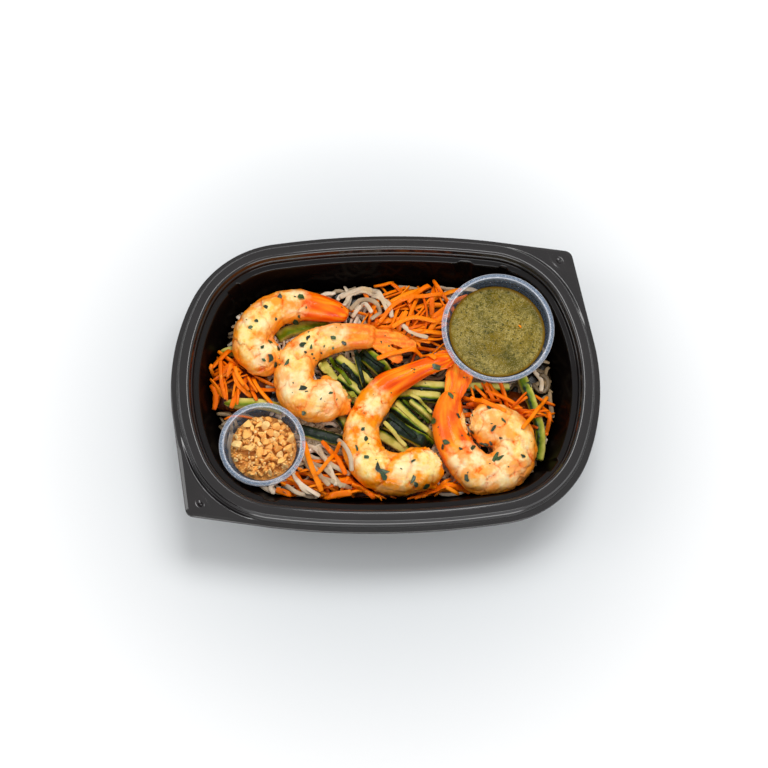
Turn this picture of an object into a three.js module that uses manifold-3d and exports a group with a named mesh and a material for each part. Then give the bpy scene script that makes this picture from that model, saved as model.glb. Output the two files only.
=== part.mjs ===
// Pad thai with shrimp in a take-away tray: rice noodles, zucchini sticks, carrot shreds
// and four cooked shrimp, with a cup of herb sauce and a cup of chopped peanuts.
// Millimetres, +Z up, +Y to the back. The origin is the middle of the tray's underside.
import * as THREE from 'three';
import { mergeVertices } from 'three/addons/utils/BufferGeometryUtils.js';
import Module from 'manifold-3d';

const wasm = await Module();
wasm.setup();

// ---- Driving dimensions -------------------------------------------------------------

const GAP = 0.35; // clearance between pieces that rest on each other
const MERGE = 0.05; // faces flatter than this are merged on the tray and cups
const FOOD_MERGE = 0.18; // the same on food
const HEAP_MERGE = 0.25; // and on a heap's bare core

// Tray: a barrel-shaped rim curve, offset inwards and outwards for every other edge
const TRAY_HEIGHT = 46;
const RIM_HALF_LENGTH = 115.5;
const RIM_HALF_WIDTH = 82.7;
const LONG_SIDE_RADIUS = 470;
const SHORT_SIDE_RADIUS = 117;
const CORNER_RADIUS = 54.4;
const FLANGE_WIDTH = 5.1; // outside the rim curve, all round
const FLANGE_DROP = 5.9; // below the rim's top
const LIP_DROP = 7.9;
const TAB_CENTRE = new THREE.Vector2(105.4, 71.9); // the lifting tab's round tip
const TAB_RADIUS = 5;
const WALL = 1; // sheet thickness of the tray
const LEDGE_DROP = 6.3; // the lid's seat, below the rim's top
const LEDGE_INSET = 10.6; // its inner edge, in from the rim curve
const WALL_TOP_INSET = 11.2;
const WALL_FOOT_INSET = 21.2;
const WALL_FOOT_HEIGHT = 8;

// Food levels above the tray's underside
const BED_TOP = 19; // the packed noodles that everything rests on
const LAYER_TOP = BED_TOP + GAP;

// Portion cups: outer flange radius, height, base height and centre. The sauce cup leans
// forward by its tilt, in degrees, on the uneven food.
const SAUCE_CUP = { radius: 32.2, height: 31, base: 9.6, x: 64.5, y: 31.8, sides: 32, tilt: 4.5 };
const PEANUT_CUP = { radius: 23.9, height: 27, base: 11, x: -69.2, y: -36.1, sides: 26, tilt: 0 };
const CUP_WALL = 0.9;
const CUP_FLANGE = 2.6;
const CUP_DRAFT = 7; // how much narrower the base is than the mouth
const SAUCE_DEPTH_BELOW_RIM = 7;
const PEANUTS_BELOW_RIM = 8;
const PEANUT_CHUNKS = 24;

// Carrot shreds and rice noodles
const SHRED = { width: 2.6, thickness: 1.7 };
const NOODLE = { width: 3.2, thickness: 1.3 };

const UP = new THREE.Vector3(0, 0, 1);
const TURN = 2 * Math.PI;

// ---- Seeded draws -------------------------------------------------------------------

function drawer(seed) {
  let state = seed >>> 0;
  return (low = 0, high = 1) => {
    state = (Math.imul(state, 1664525) + 1013904223) >>> 0;
    return low + (high - low) * (state / 2 ** 32);
  };
}

// ---- From three.js geometry to solids and back --------------------------------------

function signedVolume(position, index) {
  const [a, b, c] = [new THREE.Vector3(), new THREE.Vector3(), new THREE.Vector3()];
  let sum = 0;
  for (let i = 0; i < index.length; i += 3) {
    a.fromBufferAttribute(position, index[i]);
    b.fromBufferAttribute(position, index[i + 1]);
    c.fromBufferAttribute(position, index[i + 2]);
    sum += a.dot(b.cross(c));
  }
  return sum / 6;
}

function solidOf(geometry) {
  geometry.deleteAttribute('normal');
  geometry.deleteAttribute('uv');
  const merged = mergeVertices(geometry, 1e-3);
  const { position } = merged.attributes;
  const corners = [];
  for (let i = 0; i < merged.index.count; i += 3) {
    const face = [0, 1, 2].map((k) => merged.index.getX(i + k));
    if (new Set(face).size === 3) corners.push(...face);
  }
  if (signedVolume(position, corners) < 0) corners.reverse();
  const triVerts = new Uint32Array(corners);
  const vertProperties = new Float32Array(position.array);
  return new wasm.Manifold(new wasm.Mesh({ numProp: 3, vertProperties, triVerts }));
}

function join(solids) {
  return solids.reduce((all, solid) => all.add(solid));
}

function largest(solid) {
  return solid.decompose().reduce((best, body) => (body.volume() > best.volume() ? body : best));
}

function cut(solid, cutters) {
  return cutters.reduce((rest, cutter) => rest.subtract(cutter), solid);
}

function touches(solid, others) {
  return others.some((other) => !solid.intersect(other).isEmpty());
}

const dish = new THREE.Group();

function geometryOf(solid) {
  const mesh = solid.getMesh();
  const geometry = new THREE.BufferGeometry();
  geometry.setAttribute('position', new THREE.BufferAttribute(mesh.vertProperties, 3));
  geometry.setIndex(new THREE.BufferAttribute(mesh.triVerts, 1));
  return geometry;
}

// Slivers and scraps that a join leaves are dropped, so that a node is one body.
function add(name, solid, color, roughness, merge = FOOD_MERGE) {
  const body = largest(solid.simplify(merge));
  const geometry = geometryOf(largest(solidOf(geometryOf(body))));
  geometry.computeVertexNormals();
  const material = new THREE.MeshStandardMaterial({ color, roughness, metalness: 0 });
  const node = new THREE.Mesh(geometry, material);
  node.name = name;
  dish.add(node);
}

// ---- Shapes -------------------------------------------------------------------------

// The outline round a path's point at t. section(t) lists it as [across, up] offsets. On the
// inside of a tight bend it stops short of the bend's centre, so that the body never folds.
function ringAt(path, section, t) {
  const ahead = path.getTangent(t);
  const side = new THREE.Vector3().crossVectors(ahead, UP).normalize();
  const top = new THREE.Vector3().crossVectors(side, ahead);
  const [before, after] = [Math.max(0, t - 0.02), Math.min(1, t + 0.02)];
  const length = path.getPoint(before).distanceTo(path.getPoint(after));
  const bend = path.getTangent(after).sub(path.getTangent(before)).dot(side) / length;
  return section(t).map(([across, lift]) => {
    const kept = across * bend > 0.85 ? 0.85 / bend : across;
    return path.getPoint(t).addScaledVector(side, kept).addScaledVector(top, lift);
  });
}

// A cylinder bent along a path, or along the stretch of it between two values of t
function rod(path, section, steps, [start, end] = [0, 1]) {
  const sides = section(0).length;
  const geometry = new THREE.CylinderGeometry(1, 1, 1, sides, steps);
  const { position } = geometry.attributes;
  for (let i = 0; i < position.count; i++) {
    const [x, y, z] = [position.getX(i), position.getY(i), position.getZ(i)];
    const t = THREE.MathUtils.lerp(start, end, 0.5 - y);
    const k = Math.round((Math.atan2(x, z) / TURN + 1) * sides) % sides;
    const onAxis = Math.hypot(x, z) < 0.5;
    const point = onAxis ? path.getPoint(t) : ringAt(path, section, t)[k];
    position.setXYZ(i, point.x, point.y, point.z);
  }
  return solidOf(geometry);
}

// A smooth line through the points, made longer at both ends where a clearance is wanted
function curve(points, stretch = 0) {
  const path = points.map(([x, y, z]) => new THREE.Vector3(x, y, z));
  const start = path[0].clone().sub(path[1]).setLength(stretch);
  const end = path.at(-1).clone().sub(path.at(-2)).setLength(stretch);
  path[0].add(start);
  path.at(-1).add(end);
  return new THREE.CatmullRomCurve3(path);
}

function ribbonSection(width, thickness) {
  const [a, b] = [width / 2, thickness / 2];
  return () => [[a, b], [a, -b], [-a, -b], [-a, b]];
}

// The value at t of a list of values spaced evenly from 0 to 1
function along(values, t) {
  const place = Math.min(t, 0.9999) * (values.length - 1);
  const i = Math.floor(place);
  return THREE.MathUtils.lerp(values[i], values[i + 1], place - i);
}

function block(low, high) {
  const geometry = new THREE.BoxGeometry(high[0] - low[0], high[1] - low[1], high[2] - low[2]);
  geometry.translate((low[0] + high[0]) / 2, (low[1] + high[1]) / 2, (low[2] + high[2]) / 2);
  return solidOf(geometry);
}

// A dome of food: the upper half of a squashed sphere, standing on the noodle bed
function dome({ x, y, length, width, height }, turns = 14, rows = 3) {
  const points = Array.from({ length: rows + 1 }, (_, i) => {
    const angle = (i / rows) * (Math.PI / 2);
    return new THREE.Vector2(Math.sin(angle), Math.cos(angle));
  });
  const round = new THREE.LatheGeometry([...points, new THREE.Vector2(0, 0)], turns);
  round.rotateX(Math.PI / 2);
  round.scale(length / 2, width / 2, height);
  round.translate(x, y, LAYER_TOP);
  return solidOf(round);
}

function heapRoom(heap) {
  const { length, width, height } = heap;
  const grown = { ...heap, length: length + 3, width: width + 3, height: height + 2 };
  return dome(grown).translate([0, 0, -GAP]);
}

function domeTop({ x, y, length, width, height }, px, py) {
  const reach = ((px - x) / (length / 2)) ** 2 + ((py - y) / (width / 2)) ** 2;
  return LAYER_TOP + height * Math.sqrt(Math.max(0, 1 - reach));
}

// ---- The tray -----------------------------------------------------------------------

// The corner arc's centre lies where it touches the long and the short side's arcs.
function cornerCentre() {
  const short = new THREE.Vector2(RIM_HALF_LENGTH - SHORT_SIDE_RADIUS, 0);
  const long = new THREE.Vector2(0, RIM_HALF_WIDTH - LONG_SIDE_RADIUS);
  const toShort = SHORT_SIDE_RADIUS - CORNER_RADIUS;
  const toLong = LONG_SIDE_RADIUS - CORNER_RADIUS;
  const apart = short.distanceTo(long);
  const share = (apart ** 2 + toShort ** 2 - toLong ** 2) / (2 * apart);
  const height = Math.sqrt(toShort ** 2 - share ** 2);
  const line = long.clone().sub(short).normalize();
  return new THREE.Vector2(
    short.x + line.x * share - line.y * height,
    short.y + line.y * share + line.x * height,
  );
}

// A station is a centre, a radius and a direction, so that an offset curve is a longer radius.
function stationsOnArc(x, y, radius, from, to, shares) {
  return shares.map((share) => {
    const angle = THREE.MathUtils.lerp(from, to, share);
    return { x, y, radius, c: Math.cos(angle), s: Math.sin(angle) };
  });
}

function rimStations() {
  const corner = cornerCentre();
  const shortX = RIM_HALF_LENGTH - SHORT_SIDE_RADIUS;
  const longY = RIM_HALF_WIDTH - LONG_SIDE_RADIUS;
  const first = Math.atan2(corner.y, corner.x - shortX);
  const second = Math.atan2(corner.y - longY, corner.x);
  const even = (count) => Array.from({ length: count }, (_, i) => i / count);
  const cornerShares = [0, 0.14, 0.28, 0.35, 0.42, 0.55, 0.7, 0.85]; // closer at the tab
  const quarter = [
    ...stationsOnArc(shortX, 0, SHORT_SIDE_RADIUS, 0, first, even(3)),
    ...stationsOnArc(corner.x, corner.y, CORNER_RADIUS, first, second, cornerShares),
    ...stationsOnArc(0, longY, LONG_SIDE_RADIUS, second, Math.PI / 2, even(4)),
  ];
  const middle = stationsOnArc(0, longY, LONG_SIDE_RADIUS, Math.PI / 2, Math.PI / 2, [0]);
  const mirrored = quarter.slice(1).reverse().map((s) => ({ ...s, x: -s.x, c: -s.c }));
  const half = [...quarter, ...middle, ...mirrored];
  return [...half, ...half.map((s) => ({ ...s, x: -s.x, y: -s.y, c: -s.c, s: -s.s }))];
}

const stations = rimStations();

function pointAt(station, offset) {
  const reach = station.radius + offset;
  return new THREE.Vector2(station.x + station.c * reach, station.y + station.s * reach);
}

// The convex outline round a set of points
function hullOf(points) {
  const sorted = [...points].sort((p, q) => p.x - q.x || p.y - q.y);
  const turns = (o, p, q) => (p.x - o.x) * (q.y - o.y) - (p.y - o.y) * (q.x - o.x);
  const chain = (list) => list.reduce((hull, point) => {
    while (hull.length > 1 && turns(hull.at(-2), hull.at(-1), point) <= 0) hull.pop();
    return [...hull, point];
  }, []);
  return [...chain(sorted).slice(0, -1), ...chain(sorted.reverse()).slice(0, -1)];
}

// The flange follows the rim, and is drawn out to a round-tipped tab at two opposite corners.
function flangeOutline() {
  const ring = stations.map((station) => pointAt(station, FLANGE_WIDTH));
  const tips = [1, -1].flatMap((side) => Array.from({ length: 24 }, (_, i) => {
    const angle = (i / 24) * TURN;
    return new THREE.Vector2(
      side * TAB_CENTRE.x + TAB_RADIUS * Math.cos(angle),
      side * TAB_CENTRE.y + TAB_RADIUS * Math.sin(angle),
    );
  }));
  return hullOf([...ring, ...tips]);
}

// How far the flange reaches beyond the rim curve, straight out from a station
function flangeReach(station, outline) {
  const start = pointAt(station, 0);
  const hits = outline.map((p, i) => {
    const q = outline[(i + 1) % outline.length];
    const [ex, ey] = [q.x - p.x, q.y - p.y];
    const across = station.c * ey - station.s * ex;
    const reach = ((p.x - start.x) * ey - (p.y - start.y) * ex) / across;
    const share = ((p.x - start.x) * station.s - (p.y - start.y) * station.c) / across;
    return share >= -1e-6 && share <= 1 + 1e-6 && reach > 0 ? reach : 0;
  });
  return Math.max(...hits);
}

// A ring or a dish round the rim curve. A profile point is [offset, height], with 'centre'
// in place of the offset on the axis, and 'flange' as a third item where it counts from the
// flange's edge.
function barrel(profile, ring = stations) {
  const outline = flangeOutline();
  const plain = profile.map(([, height], i) => new THREE.Vector2(1 + i, height));
  const geometry = new THREE.LatheGeometry(plain, ring.length);
  const { position } = geometry.attributes;
  for (let i = 0; i < position.count; i++) {
    const station = ring[Math.floor(i / profile.length) % ring.length];
    const [offset, height, edge] = profile[i % profile.length];
    const reach = edge === 'flange' ? flangeReach(station, outline) : 0;
    const point = offset === 'centre' ? new THREE.Vector2() : pointAt(station, offset + reach);
    position.setXYZ(i, point.x, point.y, height);
  }
  return solidOf(geometry);
}

function trayShell() {
  const top = TRAY_HEIGHT;
  const inside = [
    ['centre', WALL],
    [-29, WALL],
    [-24, WALL + 1.6],
    [-WALL_FOOT_INSET, WALL_FOOT_HEIGHT],
    [-WALL_TOP_INSET, top - LEDGE_DROP - 0.9],
    [-LEDGE_INSET, top - LEDGE_DROP],
    [-7.8, top - 5.7],
    [-6.3, top - 0.8],
    [-0.4, top],
    [0.3, top - 2.2],
    [1.2, top - 2.5],
    [1.6, top - FLANGE_DROP],
    [-0.3, top - FLANGE_DROP - 0.3, 'flange'],
    [0, top - LIP_DROP, 'flange'],
  ];
  const outside = [
    [-WALL, top - LIP_DROP, 'flange'],
    [-WALL - 0.3, top - FLANGE_DROP - WALL - 0.3, 'flange'],
    [0.6, top - FLANGE_DROP - WALL],
    [-1.2, top - 1.3],
    [-5.5, top - 1.9],
    [-7, top - 6.6],
    [-10, top - LEDGE_DROP - 1.3],
    [-WALL_FOOT_INSET + WALL, WALL_FOOT_HEIGHT],
    [-23.2, 1.5],
    [-28, 0],
    ['centre', 0],
  ];
  return barrel([...inside, ...outside]);
}

// The room inside the tray, kept clear of its wall by the given gap
function cavity(gap) {
  const everyOther = stations.filter((_, i) => i % 2 === 0);
  return barrel([
    ['centre', WALL + gap],
    [-29.5 - gap, WALL + gap],
    [-24.2 - gap, WALL + 2 + gap],
    [-WALL_FOOT_INSET - gap, WALL_FOOT_HEIGHT],
    [-WALL_TOP_INSET - gap, TRAY_HEIGHT - LEDGE_DROP - 1],
    [-WALL_TOP_INSET - gap, TRAY_HEIGHT + 10],
    ['centre', TRAY_HEIGHT + 10],
  ], everyOther);
}

// ---- Portion cups -------------------------------------------------------------------

function turned(profile, { x, y, base, sides, tilt }) {
  const geometry = new THREE.LatheGeometry(profile.map(([r, z]) => new THREE.Vector2(r, z)), sides);
  geometry.rotateX(Math.PI / 2 + THREE.MathUtils.degToRad(tilt));
  geometry.translate(x, y, base);
  return solidOf(geometry);
}

function cupShell(cup) {
  const mouth = cup.radius - CUP_FLANGE;
  const foot = mouth - CUP_DRAFT;
  const shelf = cup.height - 5.4; // the stacking step inside the mouth
  return turned([
    [0, 0.8],
    [foot - 1.6, 0.8],
    [foot - 0.8, 0],
    [foot, 0.4],
    [mouth - 0.9, shelf],
    [mouth, shelf + 0.6],
    [mouth + 0.3, cup.height - 1.2],
    [cup.radius - 0.6, cup.height - 1.2],
    [cup.radius - 0.6, cup.height - 2.4],
    [cup.radius, cup.height - 2.4],
    [cup.radius, cup.height],
    [mouth - 0.4, cup.height],
    [mouth - CUP_WALL, shelf + 1],
    [mouth - 0.9 - CUP_WALL, shelf + 0.5],
    [foot - CUP_WALL, 2],
    [0, 1.7],
  ], cup);
}

// The cup with its clearance, as the food leaves room for it
function cupRoom(cup) {
  const mouth = cup.radius - CUP_FLANGE;
  return turned([
    [0, -GAP],
    [mouth - CUP_DRAFT + GAP, -GAP],
    [mouth + 0.3 + GAP, cup.height - 5],
    [mouth + 0.3 + GAP, cup.height - 2.4 - GAP],
    [cup.radius + GAP, cup.height - 2.4 - GAP],
    [cup.radius + GAP, cup.height + 8],
    [0, cup.height + 8],
  ], cup);
}

function cupFill(cup, level) {
  const mouth = cup.radius - CUP_FLANGE;
  const foot = mouth - CUP_DRAFT - CUP_WALL;
  const radiusAt = (z) => foot + ((CUP_DRAFT - 0.9) * (z - 2)) / (cup.height - 6.9);
  return turned([
    [0, 1.7 + GAP],
    [foot - GAP, 2 + GAP],
    [radiusAt(level) - GAP, level],
    [0, level],
  ], cup);
}

// ---- Shrimp -------------------------------------------------------------------------

// Each is a list of [x, y, z, width] from the tail's root round the curl to the thick end.
const SHRIMP = {
  shrimp_left: [
    [-21, 42, 28.5, 7], [-28, 44.8, 28.5, 13], [-38.5, 47.5, 28.7, 16.5], [-50, 49, 29, 18.5],
    [-61, 47, 29.2, 20], [-70, 40.5, 29.4, 21.5], [-75.5, 31.5, 29.6, 22.5], [-75.5, 22, 29.4, 22],
    [-70.5, 17, 29, 21], [-64.5, 19.5, 28.8, 19], [-60.5, 21.5, 28.6, 9],
  ],
  shrimp_middle: [
    [-5, 28, 31, 11], [-9, 28.5, 30.5, 14.5], [-20, 29, 29.5, 16], [-31.5, 27.5, 29.2, 17],
    [-42, 23.5, 29.4, 18.5], [-49.5, 16, 29.8, 21], [-52, 7, 30, 22.5], [-51, -2, 30, 22.5],
    [-45, -8.5, 30.2, 23], [-37, -9.5, 30.2, 25], [-29.5, -6.5, 29.8, 23], [-24.5, -3.5, 29.2, 12],
  ],
  shrimp_front: [
    [37.5, 13.5, 35, 4.5], [31, 11, 34.5, 8.5], [22.5, 8.5, 33, 10.5], [11, 3.5, 31, 13.5],
    [0.5, -2, 29.6, 17.5], [-6.5, -10.5, 29, 19], [-12.5, -21, 29.2, 18.5], [-14.5, -31.5, 29.6, 20.5],
    [-13, -42, 30, 22.5], [-5.5, -50, 30, 23], [4.5, -53, 30, 23], [14.5, -51.5, 30, 23.5],
    [22, -48, 29.8, 24], [27.5, -44, 29.2, 14],
  ],
  shrimp_right: [
    [37.5, -6, 31, 9], [36, -12, 30, 14.5], [34.8, -20, 29.6, 18], [35.5, -29, 29.5, 19.5],
    [38.5, -38, 29.6, 20], [43.5, -46.5, 30, 21], [51, -53.5, 30, 22.5], [60, -54, 30, 23.5],
    [68, -48.5, 30.3, 24], [71.5, -39, 30.6, 24], [67.5, -30, 30.6, 24.5], [59.5, -26, 30.4, 25],
    [52.5, -24.5, 30, 22.5], [47.8, -24, 29.6, 12],
  ],
};

// Tail fins: [root, middle, tip, width]
const TAIL_FINS = {
  shrimp_middle: [
    [[-8, 30.5, 31.5], [5, 27, 31], [17.5, 21, 29.8], 7.5],
    [[-8, 26, 31.3], [1, 20.5, 30], [8.5, 14.5, 27.5], 7.5],
  ],
  shrimp_right: [
    [[36.5, -10, 31], [37.2, 0, 32], [38, 9.5, 31.2], 6.5],
    [[38.5, -10, 31], [43, -2.5, 31.8], [46.8, 4.2, 30.5], 8],
  ],
};

const SEGMENTS = 6.5;
const BODY_SIDES = 10;
const STRETCHES = [[0, 0.38], [0.34, 0.74], [0.7, 1]]; // of the curl, joined where they lap
const LAP = 0.12; // how much thicker the middle stretch is

// A rounded section, flatter below, whose plates each stand a little proud of the next
function bodySection(widths, sides, grow, plates) {
  return (t) => {
    const step = 1 + plates * (0.5 - ((t * SEGMENTS) % 1));
    const half = (along(widths, t) / 2) * step + grow;
    const tall = half * 0.9 + 0.1;
    return Array.from({ length: sides }, (_, k) => {
      const angle = (k / sides) * TURN;
      const lift = Math.sin(angle);
      return [half * Math.cos(angle), lift * tall * (lift > 0 ? 1 : 0.88)];
    });
  };
}

function shrimpBody(points, sides, grow, plates) {
  const widths = points.map((point) => point[3]);
  const path = curve(points, grow);
  return join(STRETCHES.map((stretch, i) => {
    const steps = Math.round((points.length - 1) * 2 * (stretch[1] - stretch[0]));
    return rod(path, bodySection(widths, sides, grow + (i % 2) * LAP, plates), steps, stretch);
  }));
}

function finSection(width, grow) {
  return (t) => {
    const half = (width / 2) * along([0.5, 0.9, 1, 0.85, 0.3], t) + grow;
    const thick = along([1.6, 1.3, 1, 0.7], t) + grow;
    return [[half, 0], [half * 0.5, thick], [-half * 0.5, thick], [-half, 0], [0, -thick]];
  };
}

function fins(name, grow) {
  const shapes = TAIL_FINS[name] ?? [];
  return shapes.map(([root, middle, tip, width]) => (
    rod(curve([root, middle, tip], grow), finSection(width, grow), 5)
  ));
}

// The torn meat at the thick end: a few lumps
function lumps(points, grow) {
  const draw = drawer(points.length);
  const [x, y, z, width] = points.at(-2);
  return Array.from({ length: 3 }, (_, i) => {
    const size = width * draw(0.2, 0.26) + grow;
    const lump = new THREE.IcosahedronGeometry(1, 0);
    lump.scale(size, size * 0.9, size * 0.8);
    const [endX, endY] = points.at(-1);
    const away = new THREE.Vector2(endX - x, endY - y).normalize();
    const slide = (i - 1) * width * 0.27;
    lump.translate(
      x + away.x * width * 0.16 - away.y * slide,
      y + away.y * width * 0.16 + away.x * slide,
      z + draw(-0.5, 1.5),
    );
    return solidOf(lump);
  });
}

function shrimp(name, points) {
  const body = shrimpBody(points, BODY_SIDES, 0, 0.05);
  return join([body, ...fins(name, 0), ...lumps(points, 0)]);
}

function shrimpRoom(name, points) {
  const grown = points.map(([x, y, z, width]) => [x, y, z, width * 1.1]);
  const body = shrimpBody(grown, 8, GAP + 0.3, 0);
  return join([body, ...fins(name, GAP), ...lumps(points, GAP + 0.2)]);
}

// ---- Herb flakes --------------------------------------------------------------------

function topOf(solid, x, y) {
  const column = block([x - 0.3, y - 0.3, 0], [x + 0.3, y + 0.3, 80]);
  const hit = solid.intersect(column);
  return hit.isEmpty() ? null : hit.boundingBox().max[2];
}

function flake(solid, x, y, size, turn) {
  const top = topOf(solid, x, y);
  if (top === null) return [];
  const leaf = new THREE.BoxGeometry(size, size * 0.6, 0.7);
  leaf.rotateZ(turn);
  leaf.translate(x, y, top - 0.05);
  return [solidOf(leaf)];
}

// Where the larger flakes lie on each shrimp
const HERBS = {
  shrimp_left: [[-38, 50], [-62, 44], [-72, 28], [-67, 20], [-76, 22]],
  shrimp_middle: [[-24, 31], [-40, 24], [-49, 14], [-44, -3], [-33, -8]],
  shrimp_front: [[24, 9], [-12, -24], [-10, -42], [8, -51], [17, -49]],
  shrimp_right: [[38, -2], [36, -28], [58, -26], [66, -44], [52, -52]],
};

// ---- Zucchini sticks ----------------------------------------------------------------

// name: [path, width, thickness, roll in degrees]; later ones are cut round earlier ones
const STICKS = {
  zucchini_under_left_shrimp: [[[-70, 28, 24.5], [-52, 36.5, 24], [-33, 41, 23]], 6.5, 5.5, 30],
  zucchini_far_left: [[[-99.5, 23, 24], [-84, 23.5, 23.5]], 6, 5, 10],
  zucchini_by_peanuts: [[[-92, -9, 27], [-70, -10, 26], [-48, -16, 24]], 5.5, 4.5, 20],
  zucchini_centre_dark: [[[-14, 21.5, 26.5], [4, 5, 26]], 9, 6.5, 0],
  zucchini_centre_strip: [[[-16.5, 17, 27.6], [-14.5, 8, 28.6], [-11.5, -3, 27]], 2.6, 6, 0],
  zucchini_centre_a: [[[-40, 21, 23.4], [-29.5, 3.5, 23]], 6, 6, 15],
  zucchini_centre_b: [[[-27.5, 18, 24], [-7, 1.5, 23.6]], 6, 6, -10],
  zucchini_centre_c: [[[-27, 7, 22.7], [-11.5, -5.5, 22.6]], 5.5, 5.5, 0],
  zucchini_centre_d: [[[-24, -4, 22.4], [-12, -12, 22.4]], 6, 5.5, 0],
  zucchini_long: [[[3, 2.2, 25.6], [32, -1, 25.4], [71, -2.4, 24.6]], 5.5, 5.8, 0],
  zucchini_under_long: [[[5, -4.2, 24.4], [31, -7, 24]], 6, 6.5, 0],
  zucchini_ring_dark: [[[-6.5, -18.5, 27.2], [27, -37, 26.2]], 7.6, 6.4, 0],
  zucchini_ring_a: [[[2, -11.5, 25.6], [28, -32.5, 25]], 5, 5.4, 15],
  zucchini_ring_b: [[[6, -8.6, 22.6], [22, -26, 22.4]], 4.4, 5, 0],
  zucchini_ring_c: [[[14, -8.5, 24.6], [29, -21.5, 24.6]], 3.6, 4.6, 0],
  zucchini_ring_pale: [[[-7, -25.5, 23.4], [16, -40.5, 23]], 6.4, 5.8, -10],
  zucchini_front_a: [[[-31, -9.5, 23.4], [-21.5, -25, 23]], 5.6, 5.6, 0],
  zucchini_front_dark: [[[-50, -24.5, 24.4], [-22, -33, 24.2]], 6.4, 5, 0],
  zucchini_right_curl: [
    [[78, 5, 25], [83, -11, 25.4], [86.6, -27, 25.4], [85.6, -43, 25.2], [81, -54, 25], [73, -60, 24.6]],
    5.6, 8.5, 0,
  ],
};

// A stick cut lengthways: flat flesh sides and a slightly crowned skin on top
function stickSection(width, thickness, roll, grow) {
  const [a, b] = [width / 2 + grow, thickness / 2 + grow];
  const flat = [[a, -b], [-a, -b], [-a, b * 0.45], [-a * 0.5, b], [a * 0.5, b], [a, b * 0.45]];
  const centre = new THREE.Vector2();
  const corners = flat.map(([x, y]) => new THREE.Vector2(x, y).rotateAround(centre, (roll * Math.PI) / 180));
  return () => corners.map((corner) => [corner.x, corner.y]);
}

function stick([path, width, thickness, roll], grow = 0) {
  const steps = path.length > 3 ? 6 : path.length - 1;
  return rod(curve(path, grow), stickSection(width, thickness, roll, grow), steps);
}

// ---- Heaps of carrot shreds ---------------------------------------------------------

// Each heap's place and size, then how many shreds are drawn, how they run and turn (degrees)
const CARROTS = {
  carrots_left: { x: -86, y: 4, length: 44, width: 33, height: 7.5, lie: [7, 80, 50], seed: 11 },
  carrots_back: { x: 15, y: 41, length: 58, width: 44, height: 10, lie: [8, 25, 45], seed: 23 },
  carrots_right: { x: 69, y: -14, length: 44, width: 24, height: 7.5, lie: [4, 60, 55], seed: 37 },
  carrots_front: { x: -10, y: -56, length: 104, width: 26, height: 7, lie: [6, 5, 40], seed: 41 },
};

function shred(heap, draw) {
  const angle = draw(0, TURN);
  const out = Math.sqrt(draw()) * 0.8;
  const x = heap.x + Math.cos(angle) * out * (heap.length / 2);
  const y = heap.y + Math.sin(angle) * out * (heap.width / 2);
  const [, run, spread] = heap.lie;
  const heading = THREE.MathUtils.degToRad(run + draw(-spread, spread));
  const half = draw(8, 16);
  const bow = draw(-3, 3);
  const points = [-1, 0, 1].map((share) => {
    const side = bow * (1 - share * share);
    const px = x + Math.cos(heading) * half * share - Math.sin(heading) * side;
    const py = y + Math.sin(heading) * half * share + Math.cos(heading) * side;
    return [px, py, Math.max(domeTop(heap, px, py) + 0.35, LAYER_TOP + SHRED.thickness * 0.6)];
  });
  const grown = ribbonSection(SHRED.width + 2 * GAP, SHRED.thickness + 2 * GAP);
  return {
    piece: rod(curve(points), ribbonSection(SHRED.width, SHRED.thickness), 2),
    room: rod(curve(points, GAP), grown, 2),
  };
}

// Draws pieces that lie on a core, skipping those that would cross a neighbour.
function drawOn(core, make, count, rooms, inside) {
  const laid = [];
  for (let tries = 0; tries < count * 15 && laid.length < count; tries++) {
    const drawn = make();
    const clear = !touches(drawn.piece, rooms) && drawn.piece.subtract(inside).isEmpty();
    if (clear && touches(drawn.piece, [core])) laid.push(drawn);
  }
  return laid;
}

// ---- Noodles ------------------------------------------------------------------------

// Loops that show between the toppings: [x, y, radius along x, radius along y, from, to, rise]
const LOOPS = [
  [-8, 50, 17, 12, 10, 190, 4.5],
  [-6, 49, 12, 9, 0, 200, 3.5],
  [-20, 52, 10, 8, 150, 330, 2],
  [-50, -58, 12, 8, 60, 250, 3],
  [-42, -50, 9, 12, 80, 280, 2.5],
  [88, -4, 5, 14, -70, 80, 3],
  [86, -12, 6, 10, -60, 60, 2],
  [-96, -18, 5, 8, 60, 200, 2],
  [-24, -60, 22, 6, 10, 170, 1.5],
];

function noodleLoop([x, y, radiusX, radiusY, from, to, rise]) {
  const points = Array.from({ length: 6 }, (_, i) => {
    const share = i / 5;
    const angle = THREE.MathUtils.degToRad(THREE.MathUtils.lerp(from, to, share));
    const z = BED_TOP - 0.4 + rise * Math.sin(Math.PI * share);
    return [x + radiusX * Math.cos(angle), y + radiusY * Math.sin(angle), z];
  });
  return rod(curve(points), ribbonSection(NOODLE.thickness, NOODLE.width), 5);
}

// The packed noodles fill the tray's lower part, level enough for everything to rest on.
function noodleBed() {
  const level = block([-130, -100, -5], [130, 100, BED_TOP]);
  return cavity(0.5).intersect(level);
}

// ---- Peanuts ------------------------------------------------------------------------

function peanutChunk(cup, draw) {
  const angle = draw(0, TURN);
  const reach = Math.sqrt(draw()) * (cup.radius - CUP_FLANGE - CUP_WALL - 4.9);
  const size = draw(2.6, 4.8);
  const chunk = new THREE.BoxGeometry(size * draw(0.9, 1.2), size * draw(0.7, 1), draw(2.4, 3.4));
  chunk.rotateX(draw(-0.3, 0.3));
  chunk.rotateY(draw(-0.3, 0.3));
  chunk.rotateZ(draw(0, TURN));
  const z = cup.base + cup.height - PEANUTS_BELOW_RIM + 0.7;
  chunk.translate(cup.x + reach * Math.cos(angle), cup.y + reach * Math.sin(angle), z);
  return { piece: solidOf(chunk) };
}

// ---- Putting the dish together ------------------------------------------------------

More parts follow.
